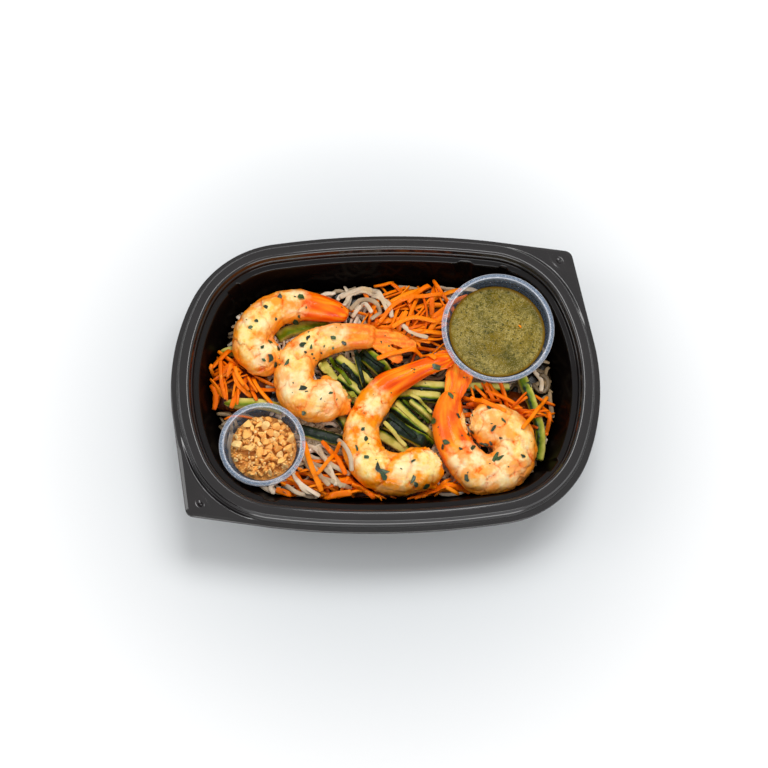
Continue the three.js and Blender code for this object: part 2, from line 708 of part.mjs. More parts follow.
const COLOURS = {
  tray: 0x2b2a2b,
  cup: 0xc9cfd6,
  sauce: 0x7d7430,
  peanuts: 0xd9a261,
  shrimp: 0xf2b268,
  carrot: 0xf0791a,
  zucchini: 0x9aa13c,
  noodles: 0xcfc8b8,
};

function build() {
  const inside = cavity(GAP + 0.1);
  const cupRooms = [cupRoom(SAUCE_CUP), cupRoom(PEANUT_CUP)];
  add('tray', trayShell(), COLOURS.tray, 0.4, MERGE);
  add('sauce_cup', cupShell(SAUCE_CUP), COLOURS.cup, 0.3, MERGE);
  add('peanut_cup', cupShell(PEANUT_CUP), COLOURS.cup, 0.3, MERGE);

  // The sauce stays level in its leaning cup.
  const sauceTop = SAUCE_CUP.base + SAUCE_CUP.height - SAUCE_DEPTH_BELOW_RIM;
  const level = block([0, -50, 0], [130, 100, sauceTop]);
  add('sauce', cupFill(SAUCE_CUP, SAUCE_CUP.height - 5).intersect(level), COLOURS.sauce, 0.3);

  const drawPeanut = drawer(5);
  const peanutCore = cupFill(PEANUT_CUP, PEANUT_CUP.height - PEANUTS_BELOW_RIM);
  const cupWalls = [cupShell(PEANUT_CUP)];
  const makeChunk = () => peanutChunk(PEANUT_CUP, drawPeanut);
  const chunks = drawOn(peanutCore, makeChunk, PEANUT_CHUNKS, cupWalls, cupRoom(PEANUT_CUP));
  add('peanuts', join([peanutCore, ...chunks.map(({ piece }) => piece)]), COLOURS.peanuts, 0.7);

  const rooms = [...cupRooms];
  for (const name of ['shrimp_front', 'shrimp_middle', 'shrimp_left', 'shrimp_right']) {
    const points = SHRIMP[name];
    const body = largest(cut(shrimp(name, points).intersect(inside), rooms));
    const flakes = HERBS[name].flatMap(([x, y], i) => flake(body, x, y, 2.4 + (i % 3) * 0.5, i * 1.1));
    add(name, join([body, ...flakes]), COLOURS.shrimp, 0.45);
    rooms.push(shrimpRoom(name, points));
  }
  for (const [name, shape] of Object.entries(STICKS)) {
    const above = block([-130, -100, LAYER_TOP], [130, 100, 60]);
    add(name, cut(stick(shape).intersect(above).intersect(inside), rooms), COLOURS.zucchini, 0.5);
    rooms.push(stick(shape, GAP));
  }
  for (const [name, heap] of Object.entries(CARROTS)) {
    const draw = drawer(heap.seed);
    const core = largest(cut(dome(heap).intersect(inside), rooms).simplify(HEAP_MERGE));
    const shreds = drawOn(core, () => shred(heap, draw), heap.lie[0], rooms, inside);
    add(name, join([core, ...shreds.map(({ piece }) => piece)]), COLOURS.carrot, 0.5);
    rooms.push(...shreds.map(({ room }) => room), heapRoom(heap));
  }
  const bed = largest(cut(noodleBed(), cupRooms));
  const loops = LOOPS.map((loop) => cut(noodleLoop(loop).intersect(inside), rooms));
  add('noodles', join([bed, ...loops]), COLOURS.noodles, 0.5);
}

build();

export default dish;
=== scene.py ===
# %% [markdown]
# # Shrimp pad thai in a take-away tray
# A black tray holds rice noodles, zucchini sticks, carrot shreds and four cooked shrimp,
# with an open cup of herb sauce and one of chopped peanuts. The CAD frame gives every
# piece its place. Each cell below builds one kind of piece and its finish.

# %% Start: load the frame
import math

import bmesh
import bpy
import numpy as np
from mathutils import Matrix, Vector, geometry
from mathutils.bvhtree import BVHTree


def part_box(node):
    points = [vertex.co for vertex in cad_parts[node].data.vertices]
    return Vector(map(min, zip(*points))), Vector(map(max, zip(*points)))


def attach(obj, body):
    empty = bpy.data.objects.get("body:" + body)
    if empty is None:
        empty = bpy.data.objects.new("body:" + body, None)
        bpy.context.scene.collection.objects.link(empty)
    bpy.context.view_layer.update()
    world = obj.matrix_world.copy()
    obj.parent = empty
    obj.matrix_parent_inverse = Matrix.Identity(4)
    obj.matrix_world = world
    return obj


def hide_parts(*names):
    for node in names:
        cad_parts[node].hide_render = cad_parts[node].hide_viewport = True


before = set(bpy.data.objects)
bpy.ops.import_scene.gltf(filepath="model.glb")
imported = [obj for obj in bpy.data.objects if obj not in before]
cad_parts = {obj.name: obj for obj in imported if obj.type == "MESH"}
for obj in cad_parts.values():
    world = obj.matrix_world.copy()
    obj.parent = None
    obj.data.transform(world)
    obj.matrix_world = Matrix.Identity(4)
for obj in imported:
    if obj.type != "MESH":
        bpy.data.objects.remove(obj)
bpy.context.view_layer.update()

MM = 0.001  # lengths below are in millimetres
TURN = 2 * math.pi
UP = np.array([0.0, 0.0, 1.0])

# %% [markdown]
# ## Helpers for meshes
# Food is built as arrays of points and faces in NumPy, because hundreds of strands made
# one by one with operators would be slow. A batch collects many small solids into one
# mesh, and carries numbers per point, such as how deep under the skin a point lies, for
# the materials to read.

# %% Batches of solids
def unit(vectors):
    return vectors / np.maximum(np.linalg.norm(vectors, axis=-1, keepdims=True), 1e-9)


class Batch:
    """Solids that become one mesh, with a value per point for each named field."""

    def __init__(self):
        self.points, self.quads, self.tris, self.fields = [], [], [], {}
        self.count = 0

    def add(self, points, quads, tris, **fields):
        points = np.asarray(points, float).reshape(-1, 3)
        self.points.append(points)
        self.quads.append(np.asarray(quads, int).reshape(-1, 4) + self.count)
        self.tris.append(np.asarray(tris, int).reshape(-1, 3) + self.count)
        for name, values in fields.items():
            self.fields.setdefault(name, []).append(np.broadcast_to(values, len(points)))
        self.count += len(points)

    def mesh(self, name):
        mesh = bpy.data.meshes.new(name)
        quads, tris = np.concatenate(self.quads), np.concatenate(self.tris)
        corners = np.concatenate([quads.ravel(), tris.ravel()])
        sizes = np.concatenate([np.full(len(quads), 4), np.full(len(tris), 3)])
        starts = np.concatenate([[0], np.cumsum(sizes)[:-1]])
        mesh.vertices.add(self.count)
        mesh.vertices.foreach_set("co", (np.concatenate(self.points) * MM).ravel())
        mesh.loops.add(len(corners))
        mesh.loops.foreach_set("vertex_index", corners)
        mesh.polygons.add(len(sizes))
        mesh.polygons.foreach_set("loop_start", starts)
        mesh.update(calc_edges=True)
        mesh.validate()
        for field, parts in self.fields.items():
            layer = mesh.attributes.new(field, "FLOAT", "POINT")
            layer.data.foreach_set("value", np.concatenate(parts).astype(np.float32))
        return mesh


def show(mesh, name, material, stands_for=(), smooth=True):
    """Puts a mesh in the scene as a piece of the dish."""
    piece = bpy.data.objects.new(name, mesh)
    bpy.context.scene.collection.objects.link(piece)
    mesh.materials.clear()
    mesh.materials.append(material)
    mesh.polygons.foreach_set("use_smooth", np.full(len(mesh.polygons), smooth))
    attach(piece, "root")
    if stands_for:
        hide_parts(*stands_for)
    print(f"{name}: {len(mesh.polygons)} faces")
    return piece


# %% Smooth lines and tubes
def smooth_line(points, count):
    """Points spaced along a centripetal Catmull-Rom curve through the given ones."""
    known = np.asarray(points, float)
    known = np.vstack([2 * known[0] - known[1], known, 2 * known[-1] - known[-2]])
    at = np.linspace(0, len(points) - 1, count)
    which = np.minimum(at.astype(int), len(points) - 2)
    share = (at - which)[:, None]
    p0, p1, p2, p3 = (known[which + k] for k in range(4))
    gap = [np.sqrt(np.linalg.norm(b - a, axis=1, keepdims=True)) for a, b in ((p0, p1), (p1, p2), (p2, p3))]
    out = ((p1 - p0) / gap[0] - (p2 - p0) / (gap[0] + gap[1]) + (p2 - p1) / gap[1]) * gap[1]
    come = ((p2 - p1) / gap[1] - (p3 - p1) / (gap[1] + gap[2]) + (p3 - p2) / gap[2]) * gap[1]
    cube = 2 * p1 - 2 * p2 + out + come
    square = 3 * p2 - 3 * p1 - 2 * out - come
    return ((cube * share + square) * share + out) * share + p1


def directions(line):
    """The way ahead, to the right and up at each point of a line."""
    ahead = unit(np.gradient(line, axis=0))
    side = unit(np.cross(ahead, UP))
    return ahead, side, np.cross(side, ahead)


def closed_ring(points, centres):
    """A surface of rings, [row, place in the ring, xyz], closed at both ends by a fan."""
    rows, sides = points.shape[:2]
    i, j = np.meshgrid(np.arange(rows - 1), np.arange(sides), indexing="ij")
    k = (j + 1) % sides
    quads = np.stack([i * sides + j, i * sides + k, (i + 1) * sides + k, (i + 1) * sides + j], -1)
    around = np.arange(sides)
    nxt, last = (around + 1) % sides, (rows - 1) * sides
    first_fan = np.stack([nxt, around, np.full(sides, rows * sides)], -1)
    last_fan = np.stack([around + last, nxt + last, np.full(sides, rows * sides + 1)], -1)
    corners = np.vstack([points.reshape(-1, 3), *centres])
    return corners, quads.reshape(-1, 4), np.vstack([first_fan, last_fan])


def tube(line, sections):
    """A closed tube. sections[i] lists the outline at line[i] as [right, up] offsets."""
    _, side, top = directions(line)
    points = line[:, None] + side[:, None] * sections[..., :1] + top[:, None] * sections[..., 1:]
    return closed_ring(points, [line[0], line[-1]])


def outline(sides, half_width, half_height, power=2.0):
    """A rounded section: an ellipse at power 2, nearer a box at higher powers."""
    angle = np.arange(sides) / sides * TURN
    c, s = np.cos(angle), np.sin(angle)
    reach = (np.abs(c) ** power + np.abs(s) ** power) ** (-1 / power)
    return np.stack([c * reach * half_width, s * reach * half_height], -1)


def turn_by(section, angles):
    """One section for each angle, turned by it."""
    c, s = np.cos(angles)[:, None], np.sin(angles)[:, None]
    x, y = section[..., 0], section[..., 1]
    return np.stack([x * c - y * s, x * s + y * c], -1)


# %% Smoothing along a row of values
def window(values, reach, how):
    """For each value, the greatest, least or mean of those up to so many places away."""
    padded = np.pad(values, reach, mode="edge")
    return how([padded[k : k + len(values)] for k in range(2 * reach + 1)], axis=0)


def eased(values, times):
    """The values smoothed so many times; the two ends stay."""
    for _ in range(times):
        values[1:-1] = (values[:-2] + 2 * values[1:-1] + values[2:]) / 4
    return values


# %% Smooth random values in space
def wobble(points, size, seed, octaves=2):
    """Soft noise from -1 to 1 that changes over about the given size: sums of waves."""
    draw = np.random.default_rng(seed)
    total, weight = np.zeros(len(points)), 0.0
    for octave in range(octaves):
        share = 0.5**octave
        for _ in range(6):
            way = unit(draw.normal(size=3)) * TURN / (size * draw.uniform(0.7, 1.5)) * 2**octave
            total += share * np.sin(points @ way + draw.uniform(0, TURN))
        weight += share * 2.4
    return np.clip(total / weight, -1, 1)


# %% [markdown]
# ## Helpers for materials
# put() adds a node and joins it in one call, so that a material reads as a list of steps,
# and plus(), times() and ranged() stand for the small sums between them.
# Two effects are wanted by many foods, so each is a node group with named sockets: a
# mottling mask from noise, and the uneven wetness of cooked food.

# %% Node shortcuts
def feed(tree, node, inputs):
    """Gives a node's sockets a value each, or another node's output."""
    for key, value in inputs.items():
        if isinstance(value, bpy.types.NodeSocket):
            tree.links.new(value, node.inputs[key])
        else:
            node.inputs[key].default_value = value


def put(tree, kind, inputs=None, **settings):
    """Adds a node with its settings and inputs."""
    node = tree.nodes.new(kind)
    for key, value in settings.items():
        setattr(node, key, value)
    feed(tree, node, inputs or {})
    return node


def join(tree, shader, **sockets):
    """Feeds a shader's sockets; _ in a name stands for a space."""
    feed(tree, shader, {key.replace("_", " "): value for key, value in sockets.items()})


def colour(red, green, blue):
    """A colour given as it looks on screen, 0 to 255, as the linear values nodes use."""
    parts = [v / 255 for v in (red, green, blue)]
    return (*(((v + 0.055) / 1.055) ** 2.4 if v > 0.04 else v / 12.92 for v in parts), 1.0)


def blend(tree, share, below, above, how="MIX"):
    """One colour over another by a mask."""
    inputs = {0: share, 6: below, 7: above}
    return put(tree, "ShaderNodeMix", inputs, data_type="RGBA", blend_type=how).outputs[2]


def ramp(tree, value, stops):
    """A colour for each value: stops are (place, colour)."""
    node = put(tree, "ShaderNodeValToRGB", {0: value})
    while len(node.color_ramp.elements) < len(stops):
        node.color_ramp.elements.new(0.5)
    for element, (place, tint) in zip(node.color_ramp.elements, stops):
        element.position, element.color = place, tint
    return node.outputs[0]


def plus(tree, first, second, clamp=False):
    return put(tree, "ShaderNodeMath", {0: first, 1: second}, operation="ADD", use_clamp=clamp).outputs[0]


def times(tree, first, second, clamp=False):
    node = put(tree, "ShaderNodeMath", {0: first, 1: second}, operation="MULTIPLY", use_clamp=clamp)
    return node.outputs[0]


def ranged(tree, value, start, end, low=0.0, high=1.0, kind="LINEAR"):
    """A value moved from one range to another and kept inside it."""
    inputs = {"Value": value, "From Min": start, "From Max": end, "To Min": low, "To Max": high}
    return put(tree, "ShaderNodeMapRange", inputs, interpolation_type=kind).outputs["Result"]


def field(tree, name):
    """A number that the mesh carries for each point."""
    return put(tree, "ShaderNodeAttribute", attribute_name=name).outputs["Fac"]


def material(name):
    """A new material, its node tree, its shader and the places on the object."""
    made = bpy.data.materials.new(name)
    made.use_nodes = True
    tree = made.node_tree
    return made, tree, tree.nodes["Principled BSDF"], put(tree, "ShaderNodeTexCoord").outputs["Object"]


# %% Node groups that several foods share
def new_group(name, inputs, outputs):
    group = bpy.data.node_groups.new(name, "ShaderNodeTree")
    for label, kind, value in inputs:
        socket = group.interface.new_socket(label, in_out="INPUT", socket_type=kind)
        if value is not None:
            socket.default_value = value
    for label, kind in outputs:
        group.interface.new_socket(label, in_out="OUTPUT", socket_type=kind)
    return group, group.nodes.new("NodeGroupInput"), group.nodes.new("NodeGroupOutput")


def noise(group, given, scale, detail, roughness):
    inputs = {"Vector": given.outputs["Where"], "Scale": scale, "Detail": detail, "Roughness": roughness}
    return put(group, "ShaderNodeTexNoise", inputs).outputs["Fac"]


def mottle_group():
    """A soft-edged mask of blotches between two levels of a noise."""
    inputs = [("Where", "NodeSocketVector", None), ("Scale", "NodeSocketFloat", 100.0),
              ("From", "NodeSocketFloat", 0.4), ("To", "NodeSocketFloat", 0.6)]
    group, given, out = new_group("mottle", inputs, [("Mask", "NodeSocketFloat")])
    grain = noise(group, given, given.outputs["Scale"], 4.0, 0.55)
    spread = ranged(group, grain, given.outputs["From"], given.outputs["To"], kind="SMOOTHSTEP")
    group.links.new(spread, out.inputs["Mask"])
    return group


def moisture_group():
    """Uneven wetness: roughness between dry and wet, and a fine uneven height."""
    inputs = [("Where", "NodeSocketVector", None), ("Scale", "NodeSocketFloat", 300.0),
              ("Dry", "NodeSocketFloat", 0.5), ("Wet", "NodeSocketFloat", 0.2)]
    outputs = [("Roughness", "NodeSocketFloat"), ("Height", "NodeSocketFloat")]
    group, given, out = new_group("moisture", inputs, outputs)
    patches = noise(group, given, given.outputs["Scale"], 3.0, 0.5)
    level = ranged(group, patches, 0.35, 0.65, given.outputs["Dry"], given.outputs["Wet"])
    group.links.new(level, out.inputs["Roughness"])
    finer = times(group, given.outputs["Scale"], 3.0)
    group.links.new(noise(group, given, finer, 4.0, 0.6), out.inputs["Height"])
    return group


MOTTLE, MOISTURE = mottle_group(), moisture_group()


def mottle(tree, where, scale, low, high):
    """A mask of blotches, finer at a higher scale and sparser at higher levels."""
    inputs = {"Where": where, "Scale": scale, "From": low, "To": high}
    return put(tree, "ShaderNodeGroup", inputs, node_tree=MOTTLE).outputs["Mask"]


def wet(tree, shader, where, scale, dry, damp, depth):
    """Gives a food its uneven shine and its fine relief, depth metres high."""
    inputs = {"Where": where, "Scale": scale, "Dry": dry, "Wet": damp}
    node = put(tree, "ShaderNodeGroup", inputs, node_tree=MOISTURE)
    bump = put(tree, "ShaderNodeBump", {"Height": node.outputs["Height"], "Distance": depth, "Strength": 1.0})
    join(tree, shader, Roughness=node.outputs["Roughness"], Normal=bump.outputs["Normal"])


# %% [markdown]
# ## Camera and light
# The dish is seen steeply from above with a slight roll, by a lens a little longer than
# normal. A white room fills the shadows, and a big soft light behind the tray throws a soft
# shadow forward. A small light draws the gloss on the shrimp, and a card in front is seen
# only as the bright lines along the tray's rim. The floor is pale, with painted shade that
# greys it round the tray.

# %% Camera
ELEVATION, AZIMUTH, ROLL = (math.radians(v) for v in (72, -3.36, 2.277))
DISTANCE = 653  # from the aim point
LENS, SENSOR = 55.19, 36
AIM = np.array([-1.3, -5.29, 46.0])
VIEW_PIXELS = 768

back = np.array([math.sin(AZIMUTH) * math.cos(ELEVATION), -math.cos(AZIMUTH) * math.cos(ELEVATION),
                 math.sin(ELEVATION)])
level = np.array([math.cos(AZIMUTH), math.sin(AZIMUTH), 0.0])
steep = np.cross(back, level)
across = level * math.cos(ROLL) + steep * math.sin(ROLL)
upward = steep * math.cos(ROLL) - level * math.sin(ROLL)
eye = AIM + back * DISTANCE

camera = bpy.data.objects.new("camera", bpy.data.cameras.new("camera"))
camera.data.lens, camera.data.sensor_width = LENS, SENSOR
axes = np.column_stack([across, upward, back, eye * MM])
camera.matrix_world = Matrix([*axes.tolist(), [0, 0, 0, 1]])
bpy.context.scene.collection.objects.link(camera)
bpy.context.scene.camera = camera
print("camera at, mm:", eye.round(1))


def sight(pixel_x, pixel_y):
    """The direction in which the camera sees a pixel of its square view."""
    focal = LENS / SENSOR * VIEW_PIXELS
    half = VIEW_PIXELS / 2
    return unit((pixel_x - half) / focal * across + (half - pixel_y) / focal * upward - back)


# %% Light and floor
def area_light(name, power, size, position, target):
    lamp = bpy.data.objects.new(name, bpy.data.lights.new(name, "AREA"))
    lamp.data.energy, lamp.data.shape = power, "RECTANGLE"
    lamp.data.size, lamp.data.size_y = size
    lamp.location = position
    lamp.rotation_euler = (Vector(target) - Vector(position)).to_track_quat("-Z", "Y").to_euler()
    bpy.context.scene.collection.objects.link(lamp)
    return lamp


key = area_light("key", 6.5, (0.8, 0.36), (0.24, 0.48, 1.0), (0, 0, 0.03))
key.visible_glossy = False  # it would show as a white band in the level parts of the rim
area_light("shine", 1.0, (0.25, 0.2), (0.04, 0.3, 1.0), (0, 0, 0.03))
card = area_light("front card", 4.6, (0.9, 0.4), (0.0, -0.75, 0.5), (0, 0, 0.04))
card.visible_diffuse = False  # it only draws the bright lines along the front of the rim
area_light("front fill", 1.2, (0.9, 0.3), (0.0, -0.8, 0.4), (0, 0, 0.04))
area_light("side", 1.4, (0.4, 0.4), (-0.85, 0.1, 0.7), (0, 0, 0.03))

ROOM_LIGHT = 0.58
world = bpy.data.worlds.new("room")
world.use_nodes = True
room = world.node_tree.nodes["Background"]
feed(world.node_tree, room, {"Color": (1.0, 1.0, 1.0, 1.0), "Strength": ROOM_LIGHT})
bpy.context.scene.world = world
bpy.context.scene.view_settings.view_transform = "Standard"

FLOOR_HALF, FLOOR_DROP = 3000, 0.05  # the tray's foot stays just clear of the sheet


def floor_material():
    made, tree, shader, where = material("paper_with_painted_shade")
    away = put(tree, "ShaderNodeVectorMath", {0: where}, operation="LENGTH").outputs["Value"]
    # Painted shade: grey near the tray, white further out.
    spread = ranged(tree, away, 0.1, 0.29, kind="SMOOTHSTEP")
    tint = blend(tree, spread, colour(219, 222, 224), colour(255, 255, 255))
    fibres = times(tree, mottle(tree, where, 900, 0.3, 0.7), 0.02)
    join(tree, shader, Base_Color=blend(tree, fibres, tint, colour(205, 206, 208)), Roughness=0.85,
         Specular_IOR_Level=0.1)
    return made


floor_sheet = Batch()
corners = [(-FLOOR_HALF, -FLOOR_HALF, 0), (FLOOR_HALF, -FLOOR_HALF, 0), (FLOOR_HALF, FLOOR_HALF, 0),
           (-FLOOR_HALF, FLOOR_HALF, 0)]
floor_sheet.add(corners, [(0, 1, 2, 3)], [])
floor = bpy.data.objects.new("floor", floor_sheet.mesh("floor"))
floor.data.materials.append(floor_material())
floor.location.z = -FLOOR_DROP * MM
bpy.context.scene.collection.objects.link(floor)

# %% [markdown]
# ## The tray
# The tray is one sheet of black plastic, drawn into a barrel shape whose rim is four long
# arcs and four corner arcs. Every edge of it is the rim's curve moved in or out, so the
# surface is a profile carried round that curve. The two lifting tabs, their dimples and
# the stacking notches are small moves of the same surface.

# %% Rim curve
tray_high = np.array(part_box("tray")[1]) / MM
TOP = tray_high[2]
FLANGE_WIDTH = 5.1
RIM_HALF_LENGTH = tray_high[0] - FLANGE_WIDTH
RIM_HALF_WIDTH = tray_high[1] - FLANGE_WIDTH
LONG_SIDE_RADIUS, SHORT_SIDE_RADIUS, CORNER_RADIUS = 470, 117, 54.4
TAB_CENTRE, TAB_RADIUS = np.array([105.4, 71.9]), 5
STATION_STEP = 1.5


def corner_centre():
    """Where the corner's arc touches both the short side's and the long side's arcs."""
    short = np.array([RIM_HALF_LENGTH - SHORT_SIDE_RADIUS, 0])
    long = np.array([0, RIM_HALF_WIDTH - LONG_SIDE_RADIUS])
    to_short, to_long = SHORT_SIDE_RADIUS - CORNER_RADIUS, LONG_SIDE_RADIUS - CORNER_RADIUS
    apart = np.linalg.norm(long - short)
    share = (apart**2 + to_short**2 - to_long**2) / (2 * apart)
    height = math.sqrt(to_short**2 - share**2)
    line = (long - short) / apart
    return short, long, short + line * share + np.array([-line[1], line[0]]) * height


def rim_stations():
    """Rows of centre x, centre y, radius, and the direction outwards, anticlockwise."""
    short, long, corner = corner_centre()
    first = math.atan2(corner[1], corner[0] - short[0])
    second = math.atan2(corner[1] - long[1], corner[0])
    arcs = [(short, SHORT_SIDE_RADIUS, 0, first, 1), (corner, CORNER_RADIUS, first, second, 2),
            (long, LONG_SIDE_RADIUS, second, math.pi / 2, 1)]
    quarter = []
    for centre, radius, start, end, density in arcs:
        count = round(radius * (end - start) / STATION_STEP * density)
        for angle in np.linspace(start, end, count, endpoint=False):
            quarter.append((*centre, radius, math.cos(angle), math.sin(angle)))
    quarter = np.array(quarter)
    middle = np.array([[*long, LONG_SIDE_RADIUS, 0, 1]])
    mirrored = quarter[1:][::-1] * [-1, 1, 1, -1, 1]
    half = np.vstack([quarter, middle, mirrored])
    return np.vstack([half, half * [-1, -1, 1, -1, -1]])


stations = rim_stations()


def off_rim(offset):
    """The rim curve moved outwards by an offset, or by one for each station."""
    reach = (stations[:, 2] + offset)[:, None]
    return stations[:, :2] + stations[:, 3:] * reach


def flange_reach():
    """How far the flange goes beyond the rim curve: its outline is the hull of ring and tabs."""
    turn = np.linspace(0, TURN, 64, endpoint=False)
    tip = np.stack([np.cos(turn), np.sin(turn)], 1) * TAB_RADIUS
    cloud = np.vstack([off_rim(FLANGE_WIDTH), tip + TAB_CENTRE, tip - TAB_CENTRE])
    edge = cloud[geometry.convex_hull_2d([Vector(p) for p in cloud])]
    side = np.roll(edge, -1, 0) - edge
    start, out = off_rim(0.0)[:, None], stations[:, None, 3:]
    cross = out[..., 0] * side[:, 1] - out[..., 1] * side[:, 0]
    cross = np.where(np.abs(cross) < 1e-9, 1e-9, cross)
    gap = edge - start
    reach = (gap[..., 0] * side[:, 1] - gap[..., 1] * side[:, 0]) / cross
    share = (gap[..., 0] * out[..., 1] - gap[..., 1] * out[..., 0]) / cross
    return np.where((share > -1e-6) & (share < 1 + 1e-6) & (reach > 0), reach, 0).max(1)


reach = flange_reach()
print(f"{len(stations)} stations round the rim; flange {reach.min():.1f} to {reach.max():.1f} mm")

# %% Profile of the tray: offset, height, 1 where the offset is from the flange's edge, rounding
TRAY_PROFILE = [
    (-60, 0.9, 0, 3), (-36, 0.9, 0, 1.5), (-34.6, 1.6, 0, 1), (-29, 1.4, 0, 2), (-24, 2.6, 0, 3),
    (-21.2, 8, 0, 3), (-11.2, 38.8, 0, 0.8), (-10.6, 39.7, 0, 0.4), (-7.9, 40.2, 0, 0.7),
    (-7.4, 42.6, 0, 0.3), (-6.9, 42.8, 0, 0.3), (-6.2, 45.5, 0, 0.6), (-5.2, 46, 0, 0.5),
    (-0.5, 46, 0, 0.5), (0.3, 43.8, 0, 0.5), (1.1, 43.4, 0, 0.4), (1.6, 40.1, 0, 0.5),
    (-2.2, 40.1, 1, 0.8), (-0.3, 39.8, 1, 0.4), (0, 38.1, 1, 0.3), (-1, 38.1, 1, 0.3),
    (-1.3, 38.9, 1, 0.3), (0.6, 39.1, 0, 0.4), (-1.0, 44.7, 0, 0.5), (-5.4, 44.4, 0, 0.5),
    (-7, 39.3, 0, 0.5), (-10, 38.5, 0, 0.6), (-20.2, 8, 0, 3), (-23.2, 1.5, 0, 2), (-28, 0, 0, 1.5),
    (-33, 0, 0, 0.6), (-34.4, 0.5, 0, 0.6), (-60, 0.4, 0, 3),
]
ROUNDING_STEPS = 4
FLANGE_ROWS = 24


def rounded(profile):
    """Each corner becomes a small curve, and the flange's top gets rows for its relief."""
    known = np.array(profile, float)
    rows = [known[0, :3]]
    for i in range(1, len(known) - 1):
        before, at, after = known[i - 1 : i + 2, :3]
        cut = known[i, 3]
        ways = before - at, after - at
        start, end = (at + way * min(0.45, cut / np.linalg.norm(way[:2] + 1e-9)) for way in ways)
        if at[2] == 1 and before[2] == 0 or at[2] == 0 and after[2] == 1:
            start, end = at, at
        for share in np.linspace(0, 1, ROUNDING_STEPS if np.any(start != end) else 1):
            rows.append((1 - share) ** 2 * start + 2 * share * (1 - share) * at + share**2 * end)
        if at[2] == 0 and after[2] == 1 and at[1] > 39.5:
            rows += [at + (after - at) * share for share in np.linspace(0, 1, FLANGE_ROWS + 2)[1:-1]]
    rows.append(known[-1, :3])
    return np.array(rows)


# %% Notches in the ledge, and the dimple on each tab
NOTCHES = [(70.6, 69.4), (47.3, 69.1), (-87.3, 56.8), (90.6, -51.6), (-63.8, -67.2)]
NOTCH_WIDTH, NOTCH_DEPTH = 8.5, 1.3
DIMPLE = np.array([101.9, 69.9])
DIMPLE_RADIUS, DIMPLE_DEPTH = 1.05, 1.6


def smoothstep(values, low, high):
    share = np.clip((values - low) / (high - low), 0, 1)
    return share * share * (3 - 2 * share)


def tray_points(rows):
    """All points as [row, station, xyz], with the notches, tab pads and dimples."""
    points = np.zeros((len(rows), len(stations), 3))
    for i, (offset, height, edge) in enumerate(rows):
        moved = np.full(len(stations), offset) + edge * reach
        on_ledge = smoothstep(offset, -13.5, -11.4) * (1 - smoothstep(offset, -10.6, -9.2)) * (height > 30)
        for notch in NOTCHES:
            near = np.linalg.norm(off_rim(-10.6) - notch, axis=1) / NOTCH_WIDTH
            moved = moved + on_ledge * NOTCH_DEPTH * (1 - smoothstep(near, 0.42, 0.58))
        ring = off_rim(moved)
        lift = np.zeros(len(stations))
        if 39.6 < height < 40.3 and offset > -5 and (edge or offset > 1):
            from_edge = reach - moved
            tab = smoothstep(reach, 4.5, 10)
            lift += tab * 0.6 * smoothstep(from_edge, 1.2, 2.6) * smoothstep(moved, 1.8, 3.2)
            for side in (1, -1):
                gap = ring - side * DIMPLE
                along_edge = gap @ unit(np.array([1, -1.25]))
                outwards = gap @ unit(np.array([1.25, 1]))
                away = np.hypot(along_edge / 1.7, outwards)
                lift -= DIMPLE_DEPTH * np.exp(-((away / DIMPLE_RADIUS) ** 3))
                lift += 0.12 * np.exp(-(((away - 2.6 * DIMPLE_RADIUS) / 1.1) ** 2))
        points[i, :, :2] = ring
        points[i, :, 2] = height + lift
    return points


# %% Tray finish
def lit_rim_share(rows):
    """1 on the rim and its ledge, 0 on the walls and floor painted dark as shade, for each row of the
    profile.
    """
    share = smoothstep(rows[:, 0], -12, -10.4) * 0.45 + smoothstep(rows[:, 0], -7.8, -6.8) * 0.55
    share = np.maximum(rows[:, 2], share) * (rows[:, 1] > 36)
    return np.append(np.repeat(share, len(stations)), [0, 0])


def tray_material():
    made, tree, shader, where = material("black_plastic_painted_shade")
    rim = field(tree, "rim")
    scuffed_lit_rim = blend(tree, mottle(tree, where, 60, 0.45, 0.75), colour(22, 19, 20), colour(28, 24, 25))
    gloss, lacquer = ranged(tree, rim, 0, 1, 0.01, 0.06), ranged(tree, rim, 0, 1, 0.0, 0.7)
    # Painted shade: the walls and floor are near black, darker than the rim of the same plastic.
    join(tree, shader, Base_Color=blend(tree, rim, colour(3, 1, 1), scuffed_lit_rim), Specular_IOR_Level=gloss,
         Coat_Weight=lacquer, Coat_Roughness=0.1, Coat_IOR=1.75)
    wet(tree, shader, where, 90, 0.5, 0.42, 0.000002)
    return made


rows = rounded(TRAY_PROFILE)
tray_shell = Batch()
middles = [(0, 0, rows[0, 1]), (0, 0, rows[-1, 1])]
tray_shell.add(*closed_ring(tray_points(rows), middles), rim=lit_rim_share(rows))
show(tray_shell.mesh("tray_sheet"), "tray_sheet", tray_material(), ["tray"])

# %% How far a point is past the tray's inner wall
WALL_FOOT, WALL_TOP = np.array([-21.2, 8.0]), np.array([-11.2, 38.8])  # offset, height
ring_line = off_rim(0.0)


def past_wall(points):
    """How far each point is beyond the tray's inner wall, and the way outwards there."""
    nearest = np.empty(len(points), int)
    for start in range(0, len(points), 4000):
        gap = points[start : start + 4000, None, :2] - ring_line
        nearest[start : start + 4000] = (gap**2).sum(2).argmin(1)
    out = stations[nearest, 3:]
    offset = ((points[:, :2] - ring_line[nearest]) * out).sum(1)
    slope = (WALL_TOP[0] - WALL_FOOT[0]) / (WALL_TOP[1] - WALL_FOOT[1])
    return offset - WALL_FOOT[0] - (points[:, 2] - WALL_FOOT[1]) * slope, out


# %% [markdown]
# ## The portion cups
# Each cup is thin clear plastic with a rolled flange, a stacking step inside the mouth and
# fine moulded ticks on the flange. It is turned like a vase: a profile spun round an axis,
# which for the sauce cup leans forward. Clear film is made with Alpha that grows at a
# glancing angle, since thin plastic hides little head-on and much edge-on.

